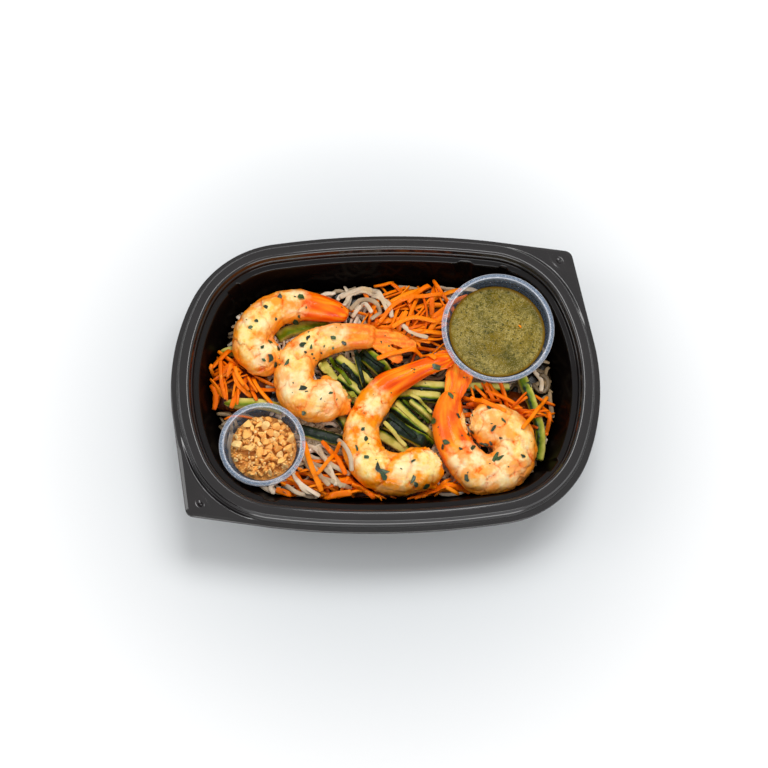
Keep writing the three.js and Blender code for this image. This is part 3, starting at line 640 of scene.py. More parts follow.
# %% Cup profile
SAUCE_CUP = {"radius": 32.2, "height": 31, "base": 9.6, "x": 64.5, "y": 31.8, "tilt": math.radians(4.5)}
PEANUT_CUP = {"radius": 23.9, "height": 27, "base": 11, "x": -69.2, "y": -36.1, "tilt": 0}
CUP_WALL, CUP_FLANGE, CUP_DRAFT = 0.9, 2.6, 7
CUP_SIDES, CUP_FLOOR = 144, 2.2


def stand(points, cup):
    """From the cup's own upright frame to its place in the tray."""
    c, s = math.cos(cup["tilt"]), math.sin(cup["tilt"])
    x, y, z = points[..., 0], points[..., 1], points[..., 2]
    return np.stack([x + cup["x"], y * c - z * s + cup["y"], z * c + y * s + cup["base"]], -1)


def circle(radius, height, angle):
    """Points round an axis. Arrays give many rings at once."""
    x, y = radius * np.cos(angle), radius * np.sin(angle)
    return np.stack([x, y, np.broadcast_to(height, x.shape)], -1)


def spin(profile, cup, sides):
    radius, height = np.asarray(profile, float).T[..., None]
    return stand(circle(radius, height, np.arange(sides) / sides * TURN), cup)


def soften(profile, cut, steps):
    """The profile with each corner rounded off."""
    known = np.array(profile, float)
    out = [known[0]]
    for before, at, after in zip(known, known[1:], known[2:]):
        start, end = (at + (p - at) * min(0.45, cut / np.linalg.norm(p - at)) for p in (before, after))
        out += [(1 - s) ** 2 * start + 2 * s * (1 - s) * at + s**2 * end for s in np.linspace(0, 1, steps)]
    return np.array([*out, known[-1]])


def cup_profile(cup):
    mouth = cup["radius"] - CUP_FLANGE
    foot, high = mouth - CUP_DRAFT, cup["height"]
    shelf = high - 5.4
    outside = [(0.3, 0.8), (foot - 1.6, 0.8), (foot - 0.8, 0), (foot, 0.4), (mouth - 0.9, shelf),
               (mouth, shelf + 0.6), (mouth + 0.3, high - 1.2)]
    edge = cup["radius"]
    flange = [(edge - 0.7, high - 1.2), (edge - 0.7, high - 2.4), (edge, high - 2.4), (edge, high - 0.5),
              (edge - 0.5, high), (mouth + 0.7, high), (mouth + 0.3, high - 0.35), (mouth - 0.3, high - 0.2)]
    inside = [(mouth - 0.55, shelf + 1.2), (mouth - 1.4, shelf + 0.6), (mouth - 1.7, shelf),
              (foot - CUP_WALL, CUP_FLOOR), (foot - 2.2, 1.7), (0.3, 1.7)]
    return soften(outside + flange + inside, 0.35, 3)


# %% Cup finish
def cup_material():
    made, tree, shader, where = material("clear film")
    rim, lip = field(tree, "rim"), field(tree, "lip")
    facing = put(tree, "ShaderNodeLayerWeight", {"Blend": 0.3}).outputs["Facing"]
    film = ranged(tree, facing, 0, 1, 0.03, 0.22)
    specks = times(tree, mottle(tree, where, 900, 0.5, 0.66), 0.25)
    solid = times(tree, rim, plus(tree, specks, 0.24))
    # Painted highlight: whitish, less clear lines along the flange's outer edge and the mouth.
    edges = plus(tree, solid, times(tree, lip, 0.22))
    join(tree, shader, Alpha=plus(tree, film, edges, clamp=True), Coat_Weight=0.5, Coat_Roughness=0.05,
         Base_Color=blend(tree, lip, colour(160, 180, 206), colour(240, 240, 246)))
    wet(tree, shader, where, 500, 0.18, 0.08, 0.00002)
    return made


film_material = cup_material()


# %% Spin both cups
def cup_film(cup, name, node):
    profile = cup_profile(cup)
    sides = CUP_SIDES * 3
    points = spin(profile, cup, sides)
    angle = np.arange(sides) / sides * TURN
    on_flange = (profile[:, 0] > cup["radius"] - CUP_FLANGE + 0.5) & (profile[:, 1] > cup["height"] - 0.6)
    ticks = np.where(np.sin(angle * CUP_SIDES) > 0, 0.07, -0.02)
    points[on_flange, :, 2] += ticks - 0.07
    rim = np.repeat(smoothstep(profile[:, 1], cup["height"] - 5.6, cup["height"] - 2)[:, None], sides, 1)
    thick = smoothstep(profile[:, 0], cup["radius"] - CUP_FLANGE - 1.2, cup["radius"] - CUP_FLANGE + 0.4)
    outer, mouth = cup["radius"] - 0.15, cup["radius"] - CUP_FLANGE + 0.2
    # Painted highlight lines: at the flange's outer edge and at the mouth's edge.
    lip = np.exp(-(((profile[:, 0] - outer) / 0.3) ** 2)) + np.exp(-(((profile[:, 0] - mouth) / 0.35) ** 2))
    lip = np.repeat((lip * (profile[:, 1] > cup["height"] - 1.3))[:, None], sides, 1)
    batch = Batch()
    centres = [stand(np.array([0, 0, 0.8]), cup), stand(np.array([0, 0, 1.7]), cup)]
    all_points, quads, tris = closed_ring(points, centres)
    rim = np.append((rim * thick[:, None]).ravel(), [0, 0])
    batch.add(all_points, quads[:, ::-1], tris[:, ::-1], rim=rim, lip=np.append(lip.ravel(), [0, 0]))
    show(batch.mesh(name), name, film_material, [node])


cup_film(SAUCE_CUP, "sauce_cup_film", "sauce_cup")
cup_film(PEANUT_CUP, "peanut_cup_film", "peanut_cup")

# %% [markdown]
# ## The herb sauce
# The sauce is a thick dressing of oil and chopped herbs that stays level in its leaning
# cup. It is one solid from the cup's floor up to the level, and reaches just into the wall
# so that no air shows between them. Its top creeps up the wall a little, and pulp lies in
# it as a fine relief. The colour is olive oil mottled with pale pulp and dark leaf.

# %% Sauce solid
SAUCE_LEVEL = 33.6
INTO_WALL = 0.25


def cup_inside(cup, height):
    """The cup's inner radius at a height in its own frame."""
    foot = cup["radius"] - CUP_FLANGE - CUP_DRAFT - CUP_WALL
    return foot + (CUP_DRAFT - 0.9) * (height - 2) / (cup["height"] - 6.9)


def sauce_mesh(cup, rings=60, sides=180):
    angle = np.arange(sides) / sides * TURN
    s, c = math.sin(cup["tilt"]), math.cos(cup["tilt"])
    grow = (CUP_DRAFT - 0.9) / (cup["height"] - 6.9)
    start = cup_inside(cup, 0)
    height = (SAUCE_LEVEL - cup["base"] - start * np.sin(angle) * s) / (c + grow * np.sin(angle) * s)
    radius = cup_inside(cup, height) + INTO_WALL
    edge = stand(circle(radius, height, angle), cup)
    low = stand(circle(cup_inside(cup, CUP_FLOOR), CUP_FLOOR, angle), cup)
    middle = edge.mean(0)
    share = np.linspace(1, 0.02, rings)[:, None, None]
    top = middle + (edge - middle) * share
    flat = top.reshape(-1, 3)
    pulp = 0.05 * wobble(flat, 9, 3) + 0.025 * wobble(flat, 2.5, 4)
    creep = 0.55 * np.exp(-((1 - share[:, 0]) * radius / 0.9))
    top[..., 2] += pulp.reshape(rings, sides) * np.minimum(1, (1 - share[:, 0]) * 6) + creep
    points = np.concatenate([low[None], top])
    batch = Batch()
    near = np.concatenate([np.ones((1, sides)), np.repeat(share[:, 0], sides, 1)])
    all_points, quads, tris = closed_ring(points[::-1], [middle, low.mean(0)])
    batch.add(all_points, quads, tris, near=np.append(near[::-1].ravel(), [0, 0]))
    return batch.mesh("herb_sauce")


# %% Sauce finish
def sauce_material():
    made, tree, shader, where = material("herb sauce")
    oil = blend(tree, mottle(tree, where, 60, 0.42, 0.6), colour(114, 94, 0), colour(82, 74, 4))
    thick = mottle(tree, where, 75, 0.34, 0.56)
    fibres = times(tree, mottle(tree, where, 330, 0.32, 0.6), mottle(tree, where, 1300, 0.3, 0.6))
    pulp = blend(tree, times(tree, fibres, thick), oil, colour(158, 140, 70))
    flecks = times(tree, mottle(tree, where, 1700, 0.52, 0.7), 0.6)
    flecked = blend(tree, flecks, pulp, colour(202, 188, 138))
    leaf = blend(tree, mottle(tree, where, 760, 0.53, 0.7), flecked, colour(50, 52, 16))
    rim = ranged(tree, field(tree, "near"), 0.93, 0.98)
    join(tree, shader, Base_Color=blend(tree, rim, leaf, colour(112, 82, 0)), Coat_Weight=0.06,
         Coat_Roughness=0.1, Specular_IOR_Level=0.1)
    wet(tree, shader, where, 500, 0.5, 0.3, 0.00005)
    return made


show(sauce_mesh(SAUCE_CUP), "herb_sauce", sauce_material(), ["sauce"])

# %% [markdown]
# ## Chopped peanuts
# The peanuts are broken chips from crumbs to pieces of six millimetres, tipped into their
# cup. Each chip starts as a round ball that a few random planes cut flat, because real
# chips break along flat faces with blunt edges. They are dropped one after the other on a
# height map, so that each rests on those below, over a bumpy core that meets the wall.

# %% A ball to cut chips from
def ball(steps):
    shape = bmesh.new()
    bmesh.ops.create_icosphere(shape, subdivisions=steps, radius=1)
    points = np.array([v.co for v in shape.verts])
    faces = np.array([[v.index for v in f.verts] for f in shape.faces])
    shape.free()
    return points, faces


BALLS = {2: ball(2), 3: ball(3)}


def spun(draw):
    """A random rotation."""
    a, b = unit(draw.normal(size=3)), unit(draw.normal(size=3))
    c = unit(np.cross(a, b))
    return np.stack([a, c, np.cross(a, c)])


def chip(draw, size, fineness=3, cuts=9, deepest=0.5):
    points, faces = BALLS[fineness]
    points = points.copy()
    for _ in range(cuts):
        way, depth = unit(draw.normal(size=3)), draw.uniform(deepest, 0.8)
        points -= np.maximum(points @ way - depth, 0)[:, None] * way
    sizes = size / 2 * np.array([draw.uniform(1, 1.35), draw.uniform(0.8, 1.1), draw.uniform(0.6, 0.85)])
    return points * sizes @ spun(draw), faces


# %% Drop the chips
PEANUT_SIZES = [(3, 5, 90), (0.9, 2.6, 240), (6, 8, 80), (8, 10.5, 34)]  # from, to and how many


def peanut_pile(cup, seed=8):
    draw = np.random.default_rng(seed)
    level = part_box("peanuts")[1].z / MM
    floor_at = level - 5.2
    inner = cup_inside(cup, floor_at - cup["base"])
    cells = 120
    axis = np.linspace(-inner, inner, cells)
    gx, gy = np.meshgrid(axis, axis)
    heights = np.full((cells, cells), floor_at)
    batch = Batch()

    rings, sides = 30, 120
    turn = np.arange(sides) / sides * TURN
    low = spin([(cup_inside(cup, CUP_FLOOR), CUP_FLOOR)], cup, sides)
    share = np.linspace(1, 0.03, rings)[:, None]
    flat = circle(share * (inner + 0.5), floor_at, turn) + [cup["x"], cup["y"], 0]
    flat[..., 2] += 0.5 * wobble(flat.reshape(-1, 3), 2.4, 6).reshape(rings, sides)
    core = closed_ring(np.concatenate([low, flat])[::-1], [flat[-1].mean(0), low[0].mean(0)])
    # Painted shade: the core between the chips has a darker tone than they do.
    batch.add(*core, tone=0.2)

    for size in np.concatenate([draw.uniform(*sizes) for sizes in PEANUT_SIZES]):
        points, faces = chip(draw, size, 3 if size > 2 else 2, 18, 0.42)
        half = np.abs(points[:, :2]).max(0)
        limit = inner + 0.9 - half.max()
        for _ in range(30):
            angle, out = draw.uniform(0, TURN), math.sqrt(draw.uniform()) * limit
            x, y = out * math.cos(angle), out * math.sin(angle)
            crumbly = y < -5 - 0.4 * x  # crumbs gather at the front left, big chips elsewhere
            if crumbly and size > 5 or not crumbly and size < 2.6 and draw.uniform() < 0.6:
                continue
            under = (gx - x) ** 2 / half[0] ** 2 + (gy - y) ** 2 / half[1] ** 2
            inside = under < 0.7
            if not inside.any():
                continue
            rest = np.percentile(heights[inside], 70) - points[:, 2].min() * 0.75
            dome = 2.0 * (1 - (out / inner) ** 2)
            if rest + points[:, 2].max() < level + dome:
                bump = rest + points[:, 2].max() * np.sqrt(np.maximum(0, 1 - under[inside]))
                heights[inside] = np.maximum(heights[inside], bump)
                batch.add(points + [cup["x"] + x, cup["y"] + y, rest], [], faces, tone=draw.uniform(0.3, 1.0))
                break
    return batch.mesh("chopped_peanuts")


# %% Peanut finish
def peanut_material():
    made, tree, shader, where = material("peanut")
    base = ramp(tree, field(tree, "tone"), [(0.0, colour(150, 84, 26)), (0.35, colour(250, 178, 88)),
                                            (0.75, colour(255, 202, 118)), (1.0, colour(255, 226, 162))])
    toast = blend(tree, mottle(tree, where, 500, 0.54, 0.76), base, colour(226, 156, 76))
    skin = blend(tree, mottle(tree, where, 210, 0.66, 0.72), toast, colour(186, 106, 50))
    join(tree, shader, Base_Color=skin, Specular_IOR_Level=0.3, Subsurface_Weight=0.08,
         Subsurface_Radius=(0.004, 0.002, 0.001))
    wet(tree, shader, where, 900, 0.65, 0.45, 0.00012)
    return made


show(peanut_pile(PEANUT_CUP), "chopped_peanuts", peanut_material(), ["peanuts"], smooth=False)

# %% [markdown]
# ## The shrimp
# Each cooked shrimp curls tail to head, its segments puffed between shallow grooves. The
# body is a tube along the curl, its tail fins are thin blades and its torn head end is a
# few lumps; a voxel remesh then makes one skin of them all. Every point of that skin is
# measured from the curl's line, which tells how far along and how far round it lies: the
# grooves, the puffs and the colour all come from those two numbers.

# %% Where each shrimp lies: x, y, z and width from the tail to the thick end
SHRIMP = {
    "shrimp_left": [
        (-21, 42, 28.5, 7), (-28, 44.8, 28.5, 13), (-38.5, 47.5, 28.7, 16.5), (-50, 49, 29, 18.5),
        (-61, 47, 29.2, 20), (-70, 40.5, 29.4, 21.5), (-75.5, 31.5, 29.6, 22.5), (-75.5, 22, 29.4, 22),
        (-70.5, 17, 29, 21), (-64.5, 19.5, 28.8, 19), (-60.5, 21.5, 28.6, 9)],
    "shrimp_middle": [
        (-5, 28, 31, 11), (-9, 28.5, 30.5, 14.5), (-20, 29, 29.5, 16), (-31.5, 27.5, 29.2, 17),
        (-42, 23.5, 29.4, 18.5), (-49.5, 16, 29.8, 21), (-52, 7, 30, 22.5), (-51, -2, 30, 22.5),
        (-45, -8.5, 30.2, 23), (-37, -9.5, 30.2, 25), (-29.5, -6.5, 29.8, 23), (-24.5, -3.5, 29.2, 12)],
    "shrimp_front": [
        (37.5, 13.5, 35, 4.5), (31, 11, 34.5, 8.5), (22.5, 8.5, 33, 10.5), (11, 3.5, 31, 13.5),
        (0.5, -2, 29.6, 17.5), (-6.5, -10.5, 29, 19), (-12.5, -21, 29.2, 18.5), (-14.5, -31.5, 29.6, 20.5),
        (-13, -42, 30, 22.5), (-5.5, -50, 30, 23), (4.5, -53, 30, 23), (14.5, -51.5, 30, 23.5),
        (22, -48, 29.8, 24), (27.5, -44, 29.2, 14)],
    "shrimp_right": [
        (37.5, -6, 31, 9), (36, -12, 30, 14.5), (34.8, -20, 29.6, 18), (35.5, -29, 29.5, 19.5),
        (38.5, -38, 29.6, 20), (43.5, -46.5, 30, 21), (51, -53.5, 30, 22.5), (60, -54, 30, 23.5),
        (68, -48.5, 30.3, 24), (71.5, -39, 30.6, 24), (67.5, -30, 30.6, 24.5), (59.5, -26, 30.4, 25),
        (52.5, -24.5, 30, 22.5), (47.8, -24, 29.6, 12)],
}
TAIL_FINS = {  # root, middle, tip, width
    "shrimp_middle": [[(-9, 30.5, 31.5), (5, 27.5, 31), (18, 21.5, 29.8), 8.5],
                      [(-9, 26, 31.3), (1, 20.5, 30), (9.5, 14, 27.8), 8]],
    "shrimp_front": [[(17, 6.2, 32.6), (29, 10.6, 34.4), (39, 14.8, 35.4), 12]],
    "shrimp_right": [[(36.3, -12, 31), (37.2, 0, 32), (39.5, 11.5, 31.2), 8],
                     [(38, -12, 31), (42.5, -2, 31.6), (47.5, 7, 30.4), 9.5]],
}
ROWS_ALONG = 150
VOXEL = 0.53


# %% Body, fins and torn end
def curl(name, rows=ROWS_ALONG):
    """The shrimp's middle line and its half width at each point of the line."""
    known = np.array(SHRIMP[name], float)
    line = smooth_line(known[:, :3], rows)
    half = np.interp(np.linspace(0, len(known) - 1, rows), np.arange(len(known)), known[:, 3] / 2)
    return line, eased(half, 6)


def held_in_bends(line, sections):
    """Stops a section short of the bend's centre on the inside of a tight curl."""
    ahead, side, _ = directions(line)
    step = np.linalg.norm(np.gradient(line, axis=0), axis=1)
    bend = eased((np.gradient(ahead, axis=0) * side).sum(1) / step, 10)
    for sign in (1, -1):
        most = 0.85 / np.maximum(bend * sign, 1e-6)[:, None]
        reach_ = sections[..., 0] * sign
        sections[..., 0] = np.where(reach_ > most, most, reach_) * sign
    return sections


def body_tube(name):
    line, half = curl(name)
    angle = np.arange(48) / 48 * TURN
    lift = np.sin(angle) * (half[:, None] * 0.9 + 0.1)
    lift = np.where(lift > 0, lift, lift * 0.88)
    sections = np.stack([half[:, None] * np.cos(angle), lift], -1)
    ends = np.ones(ROWS_ALONG)
    ends[:4], ends[-4:] = (0.55, 0.8, 0.93, 0.98), (0.98, 0.93, 0.8, 0.55)
    return tube(line, held_in_bends(line, sections * ends[:, None, None]))


def fin_blade(root, middle, tip, width):
    """A thin blade that widens from its root to a blunt, slightly ragged tip."""
    line = smooth_line([root, middle, tip], 60)
    share = np.linspace(0, 1, 60)
    wide = width / 2 * np.interp(share, [0, 0.25, 0.55, 0.85, 0.95, 1], [0.55, 0.85, 0.98, 1, 0.8, 0.3])
    wide = wide * (1 + 0.12 * wobble(line, 2.2, round(width * 10)) * share)
    thick = np.interp(share, [0, 0.4, 1], [1.6, 1.0, 0.5])
    section = outline(24, 1, 1, 2.2)
    return tube(line, section * np.stack([wide, thick], -1)[:, None])


def torn_lumps(name, draw):
    """Ragged scraps of meat round the thick end of the curl."""
    known = np.array(SHRIMP[name], float)
    (x, y, z, width), end = known[-2], known[-1]
    away = unit(end[:2] - known[-2][:2])
    aside = np.array([-away[1], away[0]])
    shapes = []
    for slide in np.linspace(-0.44, 0.44, 9) * width:
        push = draw.uniform(-0.12, 0.16) * width - abs(slide) * 0.3
        points, faces = chip(draw, width * draw.uniform(0.24, 0.42), 3, 7)
        centre = np.array([x, y]) + away * (push + 1.0) + aside * slide
        shapes.append((points * [1, 1, 0.9] + [*centre, z + draw.uniform(-3.5, 3.5)], faces))
    return shapes


# %% One skin over all of it
def skin_over(batch, name, voxel=VOXEL, smoothing=4):
    """One closed skin over all the solids in a batch, by voxel remesh."""
    piece = bpy.data.objects.new(name, batch.mesh(name))
    bpy.context.scene.collection.objects.link(piece)
    remesh = piece.modifiers.new("skin", "REMESH")
    remesh.mode, remesh.voxel_size = "VOXEL", voxel * MM
    smooth = piece.modifiers.new("smooth", "SMOOTH")
    smooth.factor, smooth.iterations = 0.5, smoothing
    skin = bpy.data.meshes.new_from_object(piece.evaluated_get(bpy.context.evaluated_depsgraph_get()))
    bpy.data.objects.remove(piece)
    return skin


def mesh_points(mesh):
    flat = np.empty(len(mesh.vertices) * 3)
    mesh.vertices.foreach_get("co", flat)
    return flat.reshape(-1, 3) / MM


def mesh_normals(mesh):
    flat = np.empty(len(mesh.vertices) * 3)
    mesh.vertex_normals.foreach_get("vector", flat)
    return flat.reshape(-1, 3)


def move_points(mesh, points):
    mesh.vertices.foreach_set("co", (points * MM).ravel())
    mesh.update()


def give_field(mesh, name, values):
    mesh.attributes.new(name, "FLOAT", "POINT").data.foreach_set("value", np.asarray(values, np.float32))


# %% Measures along and round the curl
def on_curl(points, name):
    """For each point: share of the way along, sideways and upwards places in half widths."""
    line, half = curl(name)
    _, side, top = directions(line)
    nearest = np.empty(len(points), int)
    for start in range(0, len(points), 4000):
        part = points[start : start + 4000]
        nearest[start : start + 4000] = ((part[:, None] - line) ** 2).sum(2).argmin(1)
    gap = points - line[nearest]
    aside = (gap * side[nearest]).sum(1) / half[nearest]
    lift = (gap * top[nearest]).sum(1) / half[nearest]
    return nearest / (ROWS_ALONG - 1), aside, lift, half[nearest]


SEGMENT_EDGES = {  # where the grooves cross the curl, as shares of the way along it
    "shrimp_left": (0.27, 0.38, 0.49, 0.6, 0.71, 0.82, 0.92),
    "shrimp_middle": (0.33, 0.44, 0.54, 0.65, 0.76, 0.88),
    "shrimp_front": (0.36, 0.45, 0.54, 0.64, 0.74, 0.84, 0.93),
    "shrimp_right": (0.34, 0.43, 0.52, 0.61, 0.7, 0.8, 0.9),
}
TAIL_ENDS = {"shrimp_left": 0.26, "shrimp_middle": 0.2, "shrimp_front": 0.35, "shrimp_right": 0.33}

# %% Puffs and creases
WALL_GAP = 0.3  # between the food and the tray's wall where they lean on each other
PUFF_TURN = 64  # degrees from one puff to the next round the body
CREASE_WIDTH = 1.5


def puffs(share, aside, lift, half, name, seed):
    """Gap to the nearest crease between puffs in mm, and whether it parts two segments."""
    line, _ = curl(name)
    length = np.linalg.norm(np.diff(line, axis=0), axis=1).sum()
    draw = np.random.default_rng(seed)
    edges = (SEGMENT_EDGES[name][0] - 0.1, *SEGMENT_EDGES[name], 1.03)
    angle = np.arctan2(lift, aside)
    first, second = np.full(len(share), 90.0), np.full(len(share), 99.0)
    owner, other = np.zeros(len(share), int), np.zeros(len(share), int)
    for number, (start, end) in enumerate(zip(edges, edges[1:])):
        for turned in np.arange(0, 360 - PUFF_TURN / 2, PUFF_TURN) + PUFF_TURN / 2 * (number % 2):
            at = math.radians(turned + draw.uniform(-20, 20))
            slant = 0.03 * math.cos(at)
            along = ((start + end) / 2 - slant + draw.uniform(-0.022, 0.022)) * length
            round_gap = (angle - at + math.pi) % TURN - math.pi
            far = np.hypot((share * length - along) * 1.15, round_gap * half * 0.9)
            nearer, between = far < first, (far >= first) & (far < second)
            second = np.where(nearer, first, np.where(between, far, second))
            other = np.where(nearer, owner, np.where(between, number, other))
            first, owner = np.where(nearer, far, first), np.where(nearer, number, owner)
    return second - first, owner != other


# %% Shape a shrimp
def shrimp_mesh(name, seed):
    draw = np.random.default_rng(seed)
    batch = Batch()
    batch.add(*body_tube(name))
    for root, middle, tip, width in TAIL_FINS.get(name, []):
        batch.add(*fin_blade(root, middle, tip, width))
    for points, faces in torn_lumps(name, draw):
        batch.add(points, [], faces)
    skin = skin_over(batch, name)
    points, normals = mesh_points(skin), mesh_normals(skin)
    share, aside, lift, half = on_curl(points, name)
    shell = 1 - smoothstep(share, TAIL_ENDS[name] - 0.05, TAIL_ENDS[name] + 0.05)
    meat = 1 - shell
    bent = points + 2.2 * np.stack([wobble(points, 10, seed + k) for k in (11, 12, 13)], -1)
    gap, parts_segments = puffs(*on_curl(bent, name), name, seed + 7)
    crease = np.exp(-gap / CREASE_WIDTH) * np.where(parts_segments, 1.0, 0.4)
    crease *= 0.7 + 0.45 * wobble(points, 14, seed + 9)
    torn = smoothstep(share, 0.93, 1.0)
    plump = smoothstep(half, 2.5, 7.5)
    puff = 0.5 * np.sqrt(np.clip(gap / 8, 0, 1)) - 0.95 * crease + 0.45 * wobble(points, 10, seed + 1)
    rise = meat * plump * puff
    rise += meat * 0.1 * wobble(points, 2.6, seed + 2) - 0.12 * shell * crease
    rise += torn * (0.6 * wobble(points, 3.4, seed + 4) + 0.3 * wobble(points, 1.6, seed + 5))
    ribs = np.sin(aside * half * 3.2) * smoothstep(-share, -0.012, 0.0) * 0.1
    shaped = points + normals * (rise + ribs)[:, None]
    beyond, out = past_wall(shaped)  # where a shrimp leans on the tray it is pressed flat
    shaped[:, :2] -= out * np.maximum(beyond + WALL_GAP, 0)[:, None]
    move_points(skin, shaped)
    streaks = wobble(np.stack([share * 26, aside * 9, lift * 9], -1), 4.2, seed + 6)
    flank = np.clip(smoothstep(np.abs(aside), 0.45, 1.0) + 0.3 * wobble(points, 12, seed + 8), 0, 1)
    give_field(skin, "shell", shell)
    give_field(skin, "groove", crease)
    give_field(skin, "streak", streaks * 0.5 + 0.5)
    give_field(skin, "flank", flank * meat)
    return skin


# %% Shrimp finish
def shrimp_material(name, warmth, paleness):
    made, tree, shader, where = material(name)
    blotch = mottle(tree, where, 110, 0.42, 0.62)
    fine = mottle(tree, where, 420, 0.45, 0.7)
    pale = mottle(tree, where, 60, 0.42, 0.6)
    cream = blend(tree, fine, colour(255, 226, 146), colour(255, 206, 96))
    meat = blend(tree, times(tree, pale, 0.65), cream, colour(253, 234, 192))
    glow = blend(tree, times(tree, blotch, warmth), meat, colour(252, 158, 10))
    edge_glow = blend(tree, times(tree, field(tree, "flank"), 0.9), glow, colour(250, 144, 0))
    creased = times(tree, field(tree, "groove"), plus(tree, blotch, 0.5), clamp=True)
    warm = blend(tree, creased, edge_glow, colour(234, 100, 0))
    red_shell = ramp(tree, field(tree, "streak"), [(0.0, colour(226, 70, 0)), (0.35, colour(250, 98, 0)),
                                                   (0.65, colour(255, 124, 0)), (1.0, colour(255, 154, 24))])
    faded = plus(tree, times(tree, fine, paleness), paleness * 0.5)
    shell_tint = blend(tree, faded, red_shell, colour(255, 176, 72))
    ragged = times(tree, plus(tree, blotch, -0.5), 0.5)
    cooked = plus(tree, times(tree, field(tree, "shell"), 1.3), ragged, clamp=True)
    join(tree, shader, Base_Color=blend(tree, cooked, warm, shell_tint), Specular_IOR_Level=0.12,
         Subsurface_Weight=0.12, Subsurface_Radius=(0.005, 0.002, 0.0006), Coat_Weight=0.22,
         Coat_Roughness=0.1)
    wet(tree, shader, where, 160, 0.45, 0.26, 0.0001)
    return made


TINTS = {"shrimp_left": (0.85, 0.0), "shrimp_middle": (0.55, 0.5),  # how golden the meat, how pale the shell
         "shrimp_front": (1.0, 0.0), "shrimp_right": (0.65, 0.15)}
shrimp_pieces = []
for number, name in enumerate(SHRIMP):
    finish, mesh = shrimp_material(name, *TINTS[name]), shrimp_mesh(name, 40 + 10 * number)
    shrimp_pieces.append(show(mesh, f"cooked_{name}", finish, [name]))

# %% [markdown]
# ## Room for what lies below
# Sticks, noodles and shreds fill what the shrimp and cups leave free. Two height maps keep
# them apart: one holds the underside of what is above, the other the top of what is below.
# Laying a strand means reading the map under it, bending the strand softly over that, and
# writing its own top back, which is how a real tangle builds up.

# %% Height maps
CELL = 0.5
MAP_X, MAP_Y = 116, 84  # half the map's length and width
BED_TOP = 19.0  # the noodle bed
NO_CEILING, OPEN_ABOVE = 99.0, 90  # a ceiling above the second value is open
grid_shape = (round(2 * MAP_Y / CELL) + 1, round(2 * MAP_X / CELL) + 1)
ground = np.full(grid_shape, BED_TOP)
ceiling = np.full(grid_shape, NO_CEILING)


def cells_of(points):
    column = np.clip(np.round((points[:, 0] + MAP_X) / CELL).astype(int), 0, grid_shape[1] - 1)
    row = np.clip(np.round((points[:, 1] + MAP_Y) / CELL).astype(int), 0, grid_shape[0] - 1)
    return row, column


def spread_low(values):
    """Each cell takes the lowest value round it, which closes gaps between samples."""
    high, wide = values.shape
    padded = np.pad(values, 1, mode="edge")
    return np.min([padded[i : i + high, j : j + wide] for i in range(3) for j in range(3)], axis=0)


def open_above(line):
    """True where no shrimp hangs over a point."""
    return ceiling[cells_of(line)] > OPEN_ABOVE


trees = []  # finished pieces, for rays to fall on


def carry(piece):
    """Lets other things be laid on a piece."""
    faces = [list(face.vertices) for face in piece.data.polygons]
    trees.append(BVHTree.FromPolygons(mesh_points(piece.data).tolist(), faces))


for piece in shrimp_pieces:
    carry(piece)
    points = mesh_points(piece.data)
    np.minimum.at(ceiling, cells_of(points), points[:, 2])
ceiling = spread_low(ceiling)
print(f"the shrimp cover {(ceiling < OPEN_ABOVE).mean():.0%} of the map")


# %% Keeping clear of tray and cups
def clear_of_walls(points, margin):
    """True for points inside the tray and outside the cups by at least the margin."""
    clear = past_wall(points)[0] < -margin
    for cup in (SAUCE_CUP, PEANUT_CUP):
        c, s = math.cos(cup["tilt"]), math.sin(cup["tilt"])
        y, z = points[:, 1] - cup["y"], points[:, 2] - cup["base"]
        height, radius = z * c - y * s, np.hypot(points[:, 0] - cup["x"], y * c + z * s)
        mouth = cup["radius"] - CUP_FLANGE
        wall = mouth - CUP_DRAFT + (CUP_DRAFT - 0.9) * height / (cup["height"] - 5.4)
        clear &= radius > np.where(height > cup["height"] - 6, cup["radius"], wall + 0.3) + margin
    return clear


# %% Stretches of a line that are free
def runs(free, shortest):
    """The stretches of True that are at least so many samples long."""
    edges = np.flatnonzero(np.diff(np.concatenate([[0], free.astype(int), [0]])))
    return [(a, b) for a, b in zip(edges[::2], edges[1::2]) if b - a >= shortest]


# %% [markdown]
# ## Zucchini sticks
# The sticks are zucchini cut lengthways: pale flesh with one strip of dark skin along one
# side, and a thin lime layer below it. Each is a rounded bar along its own line, and each
# point carries its depth below the skin, so that the three layers stay true at the cut
# ends too. A stick that runs under a shrimp is cut where it would meet it.

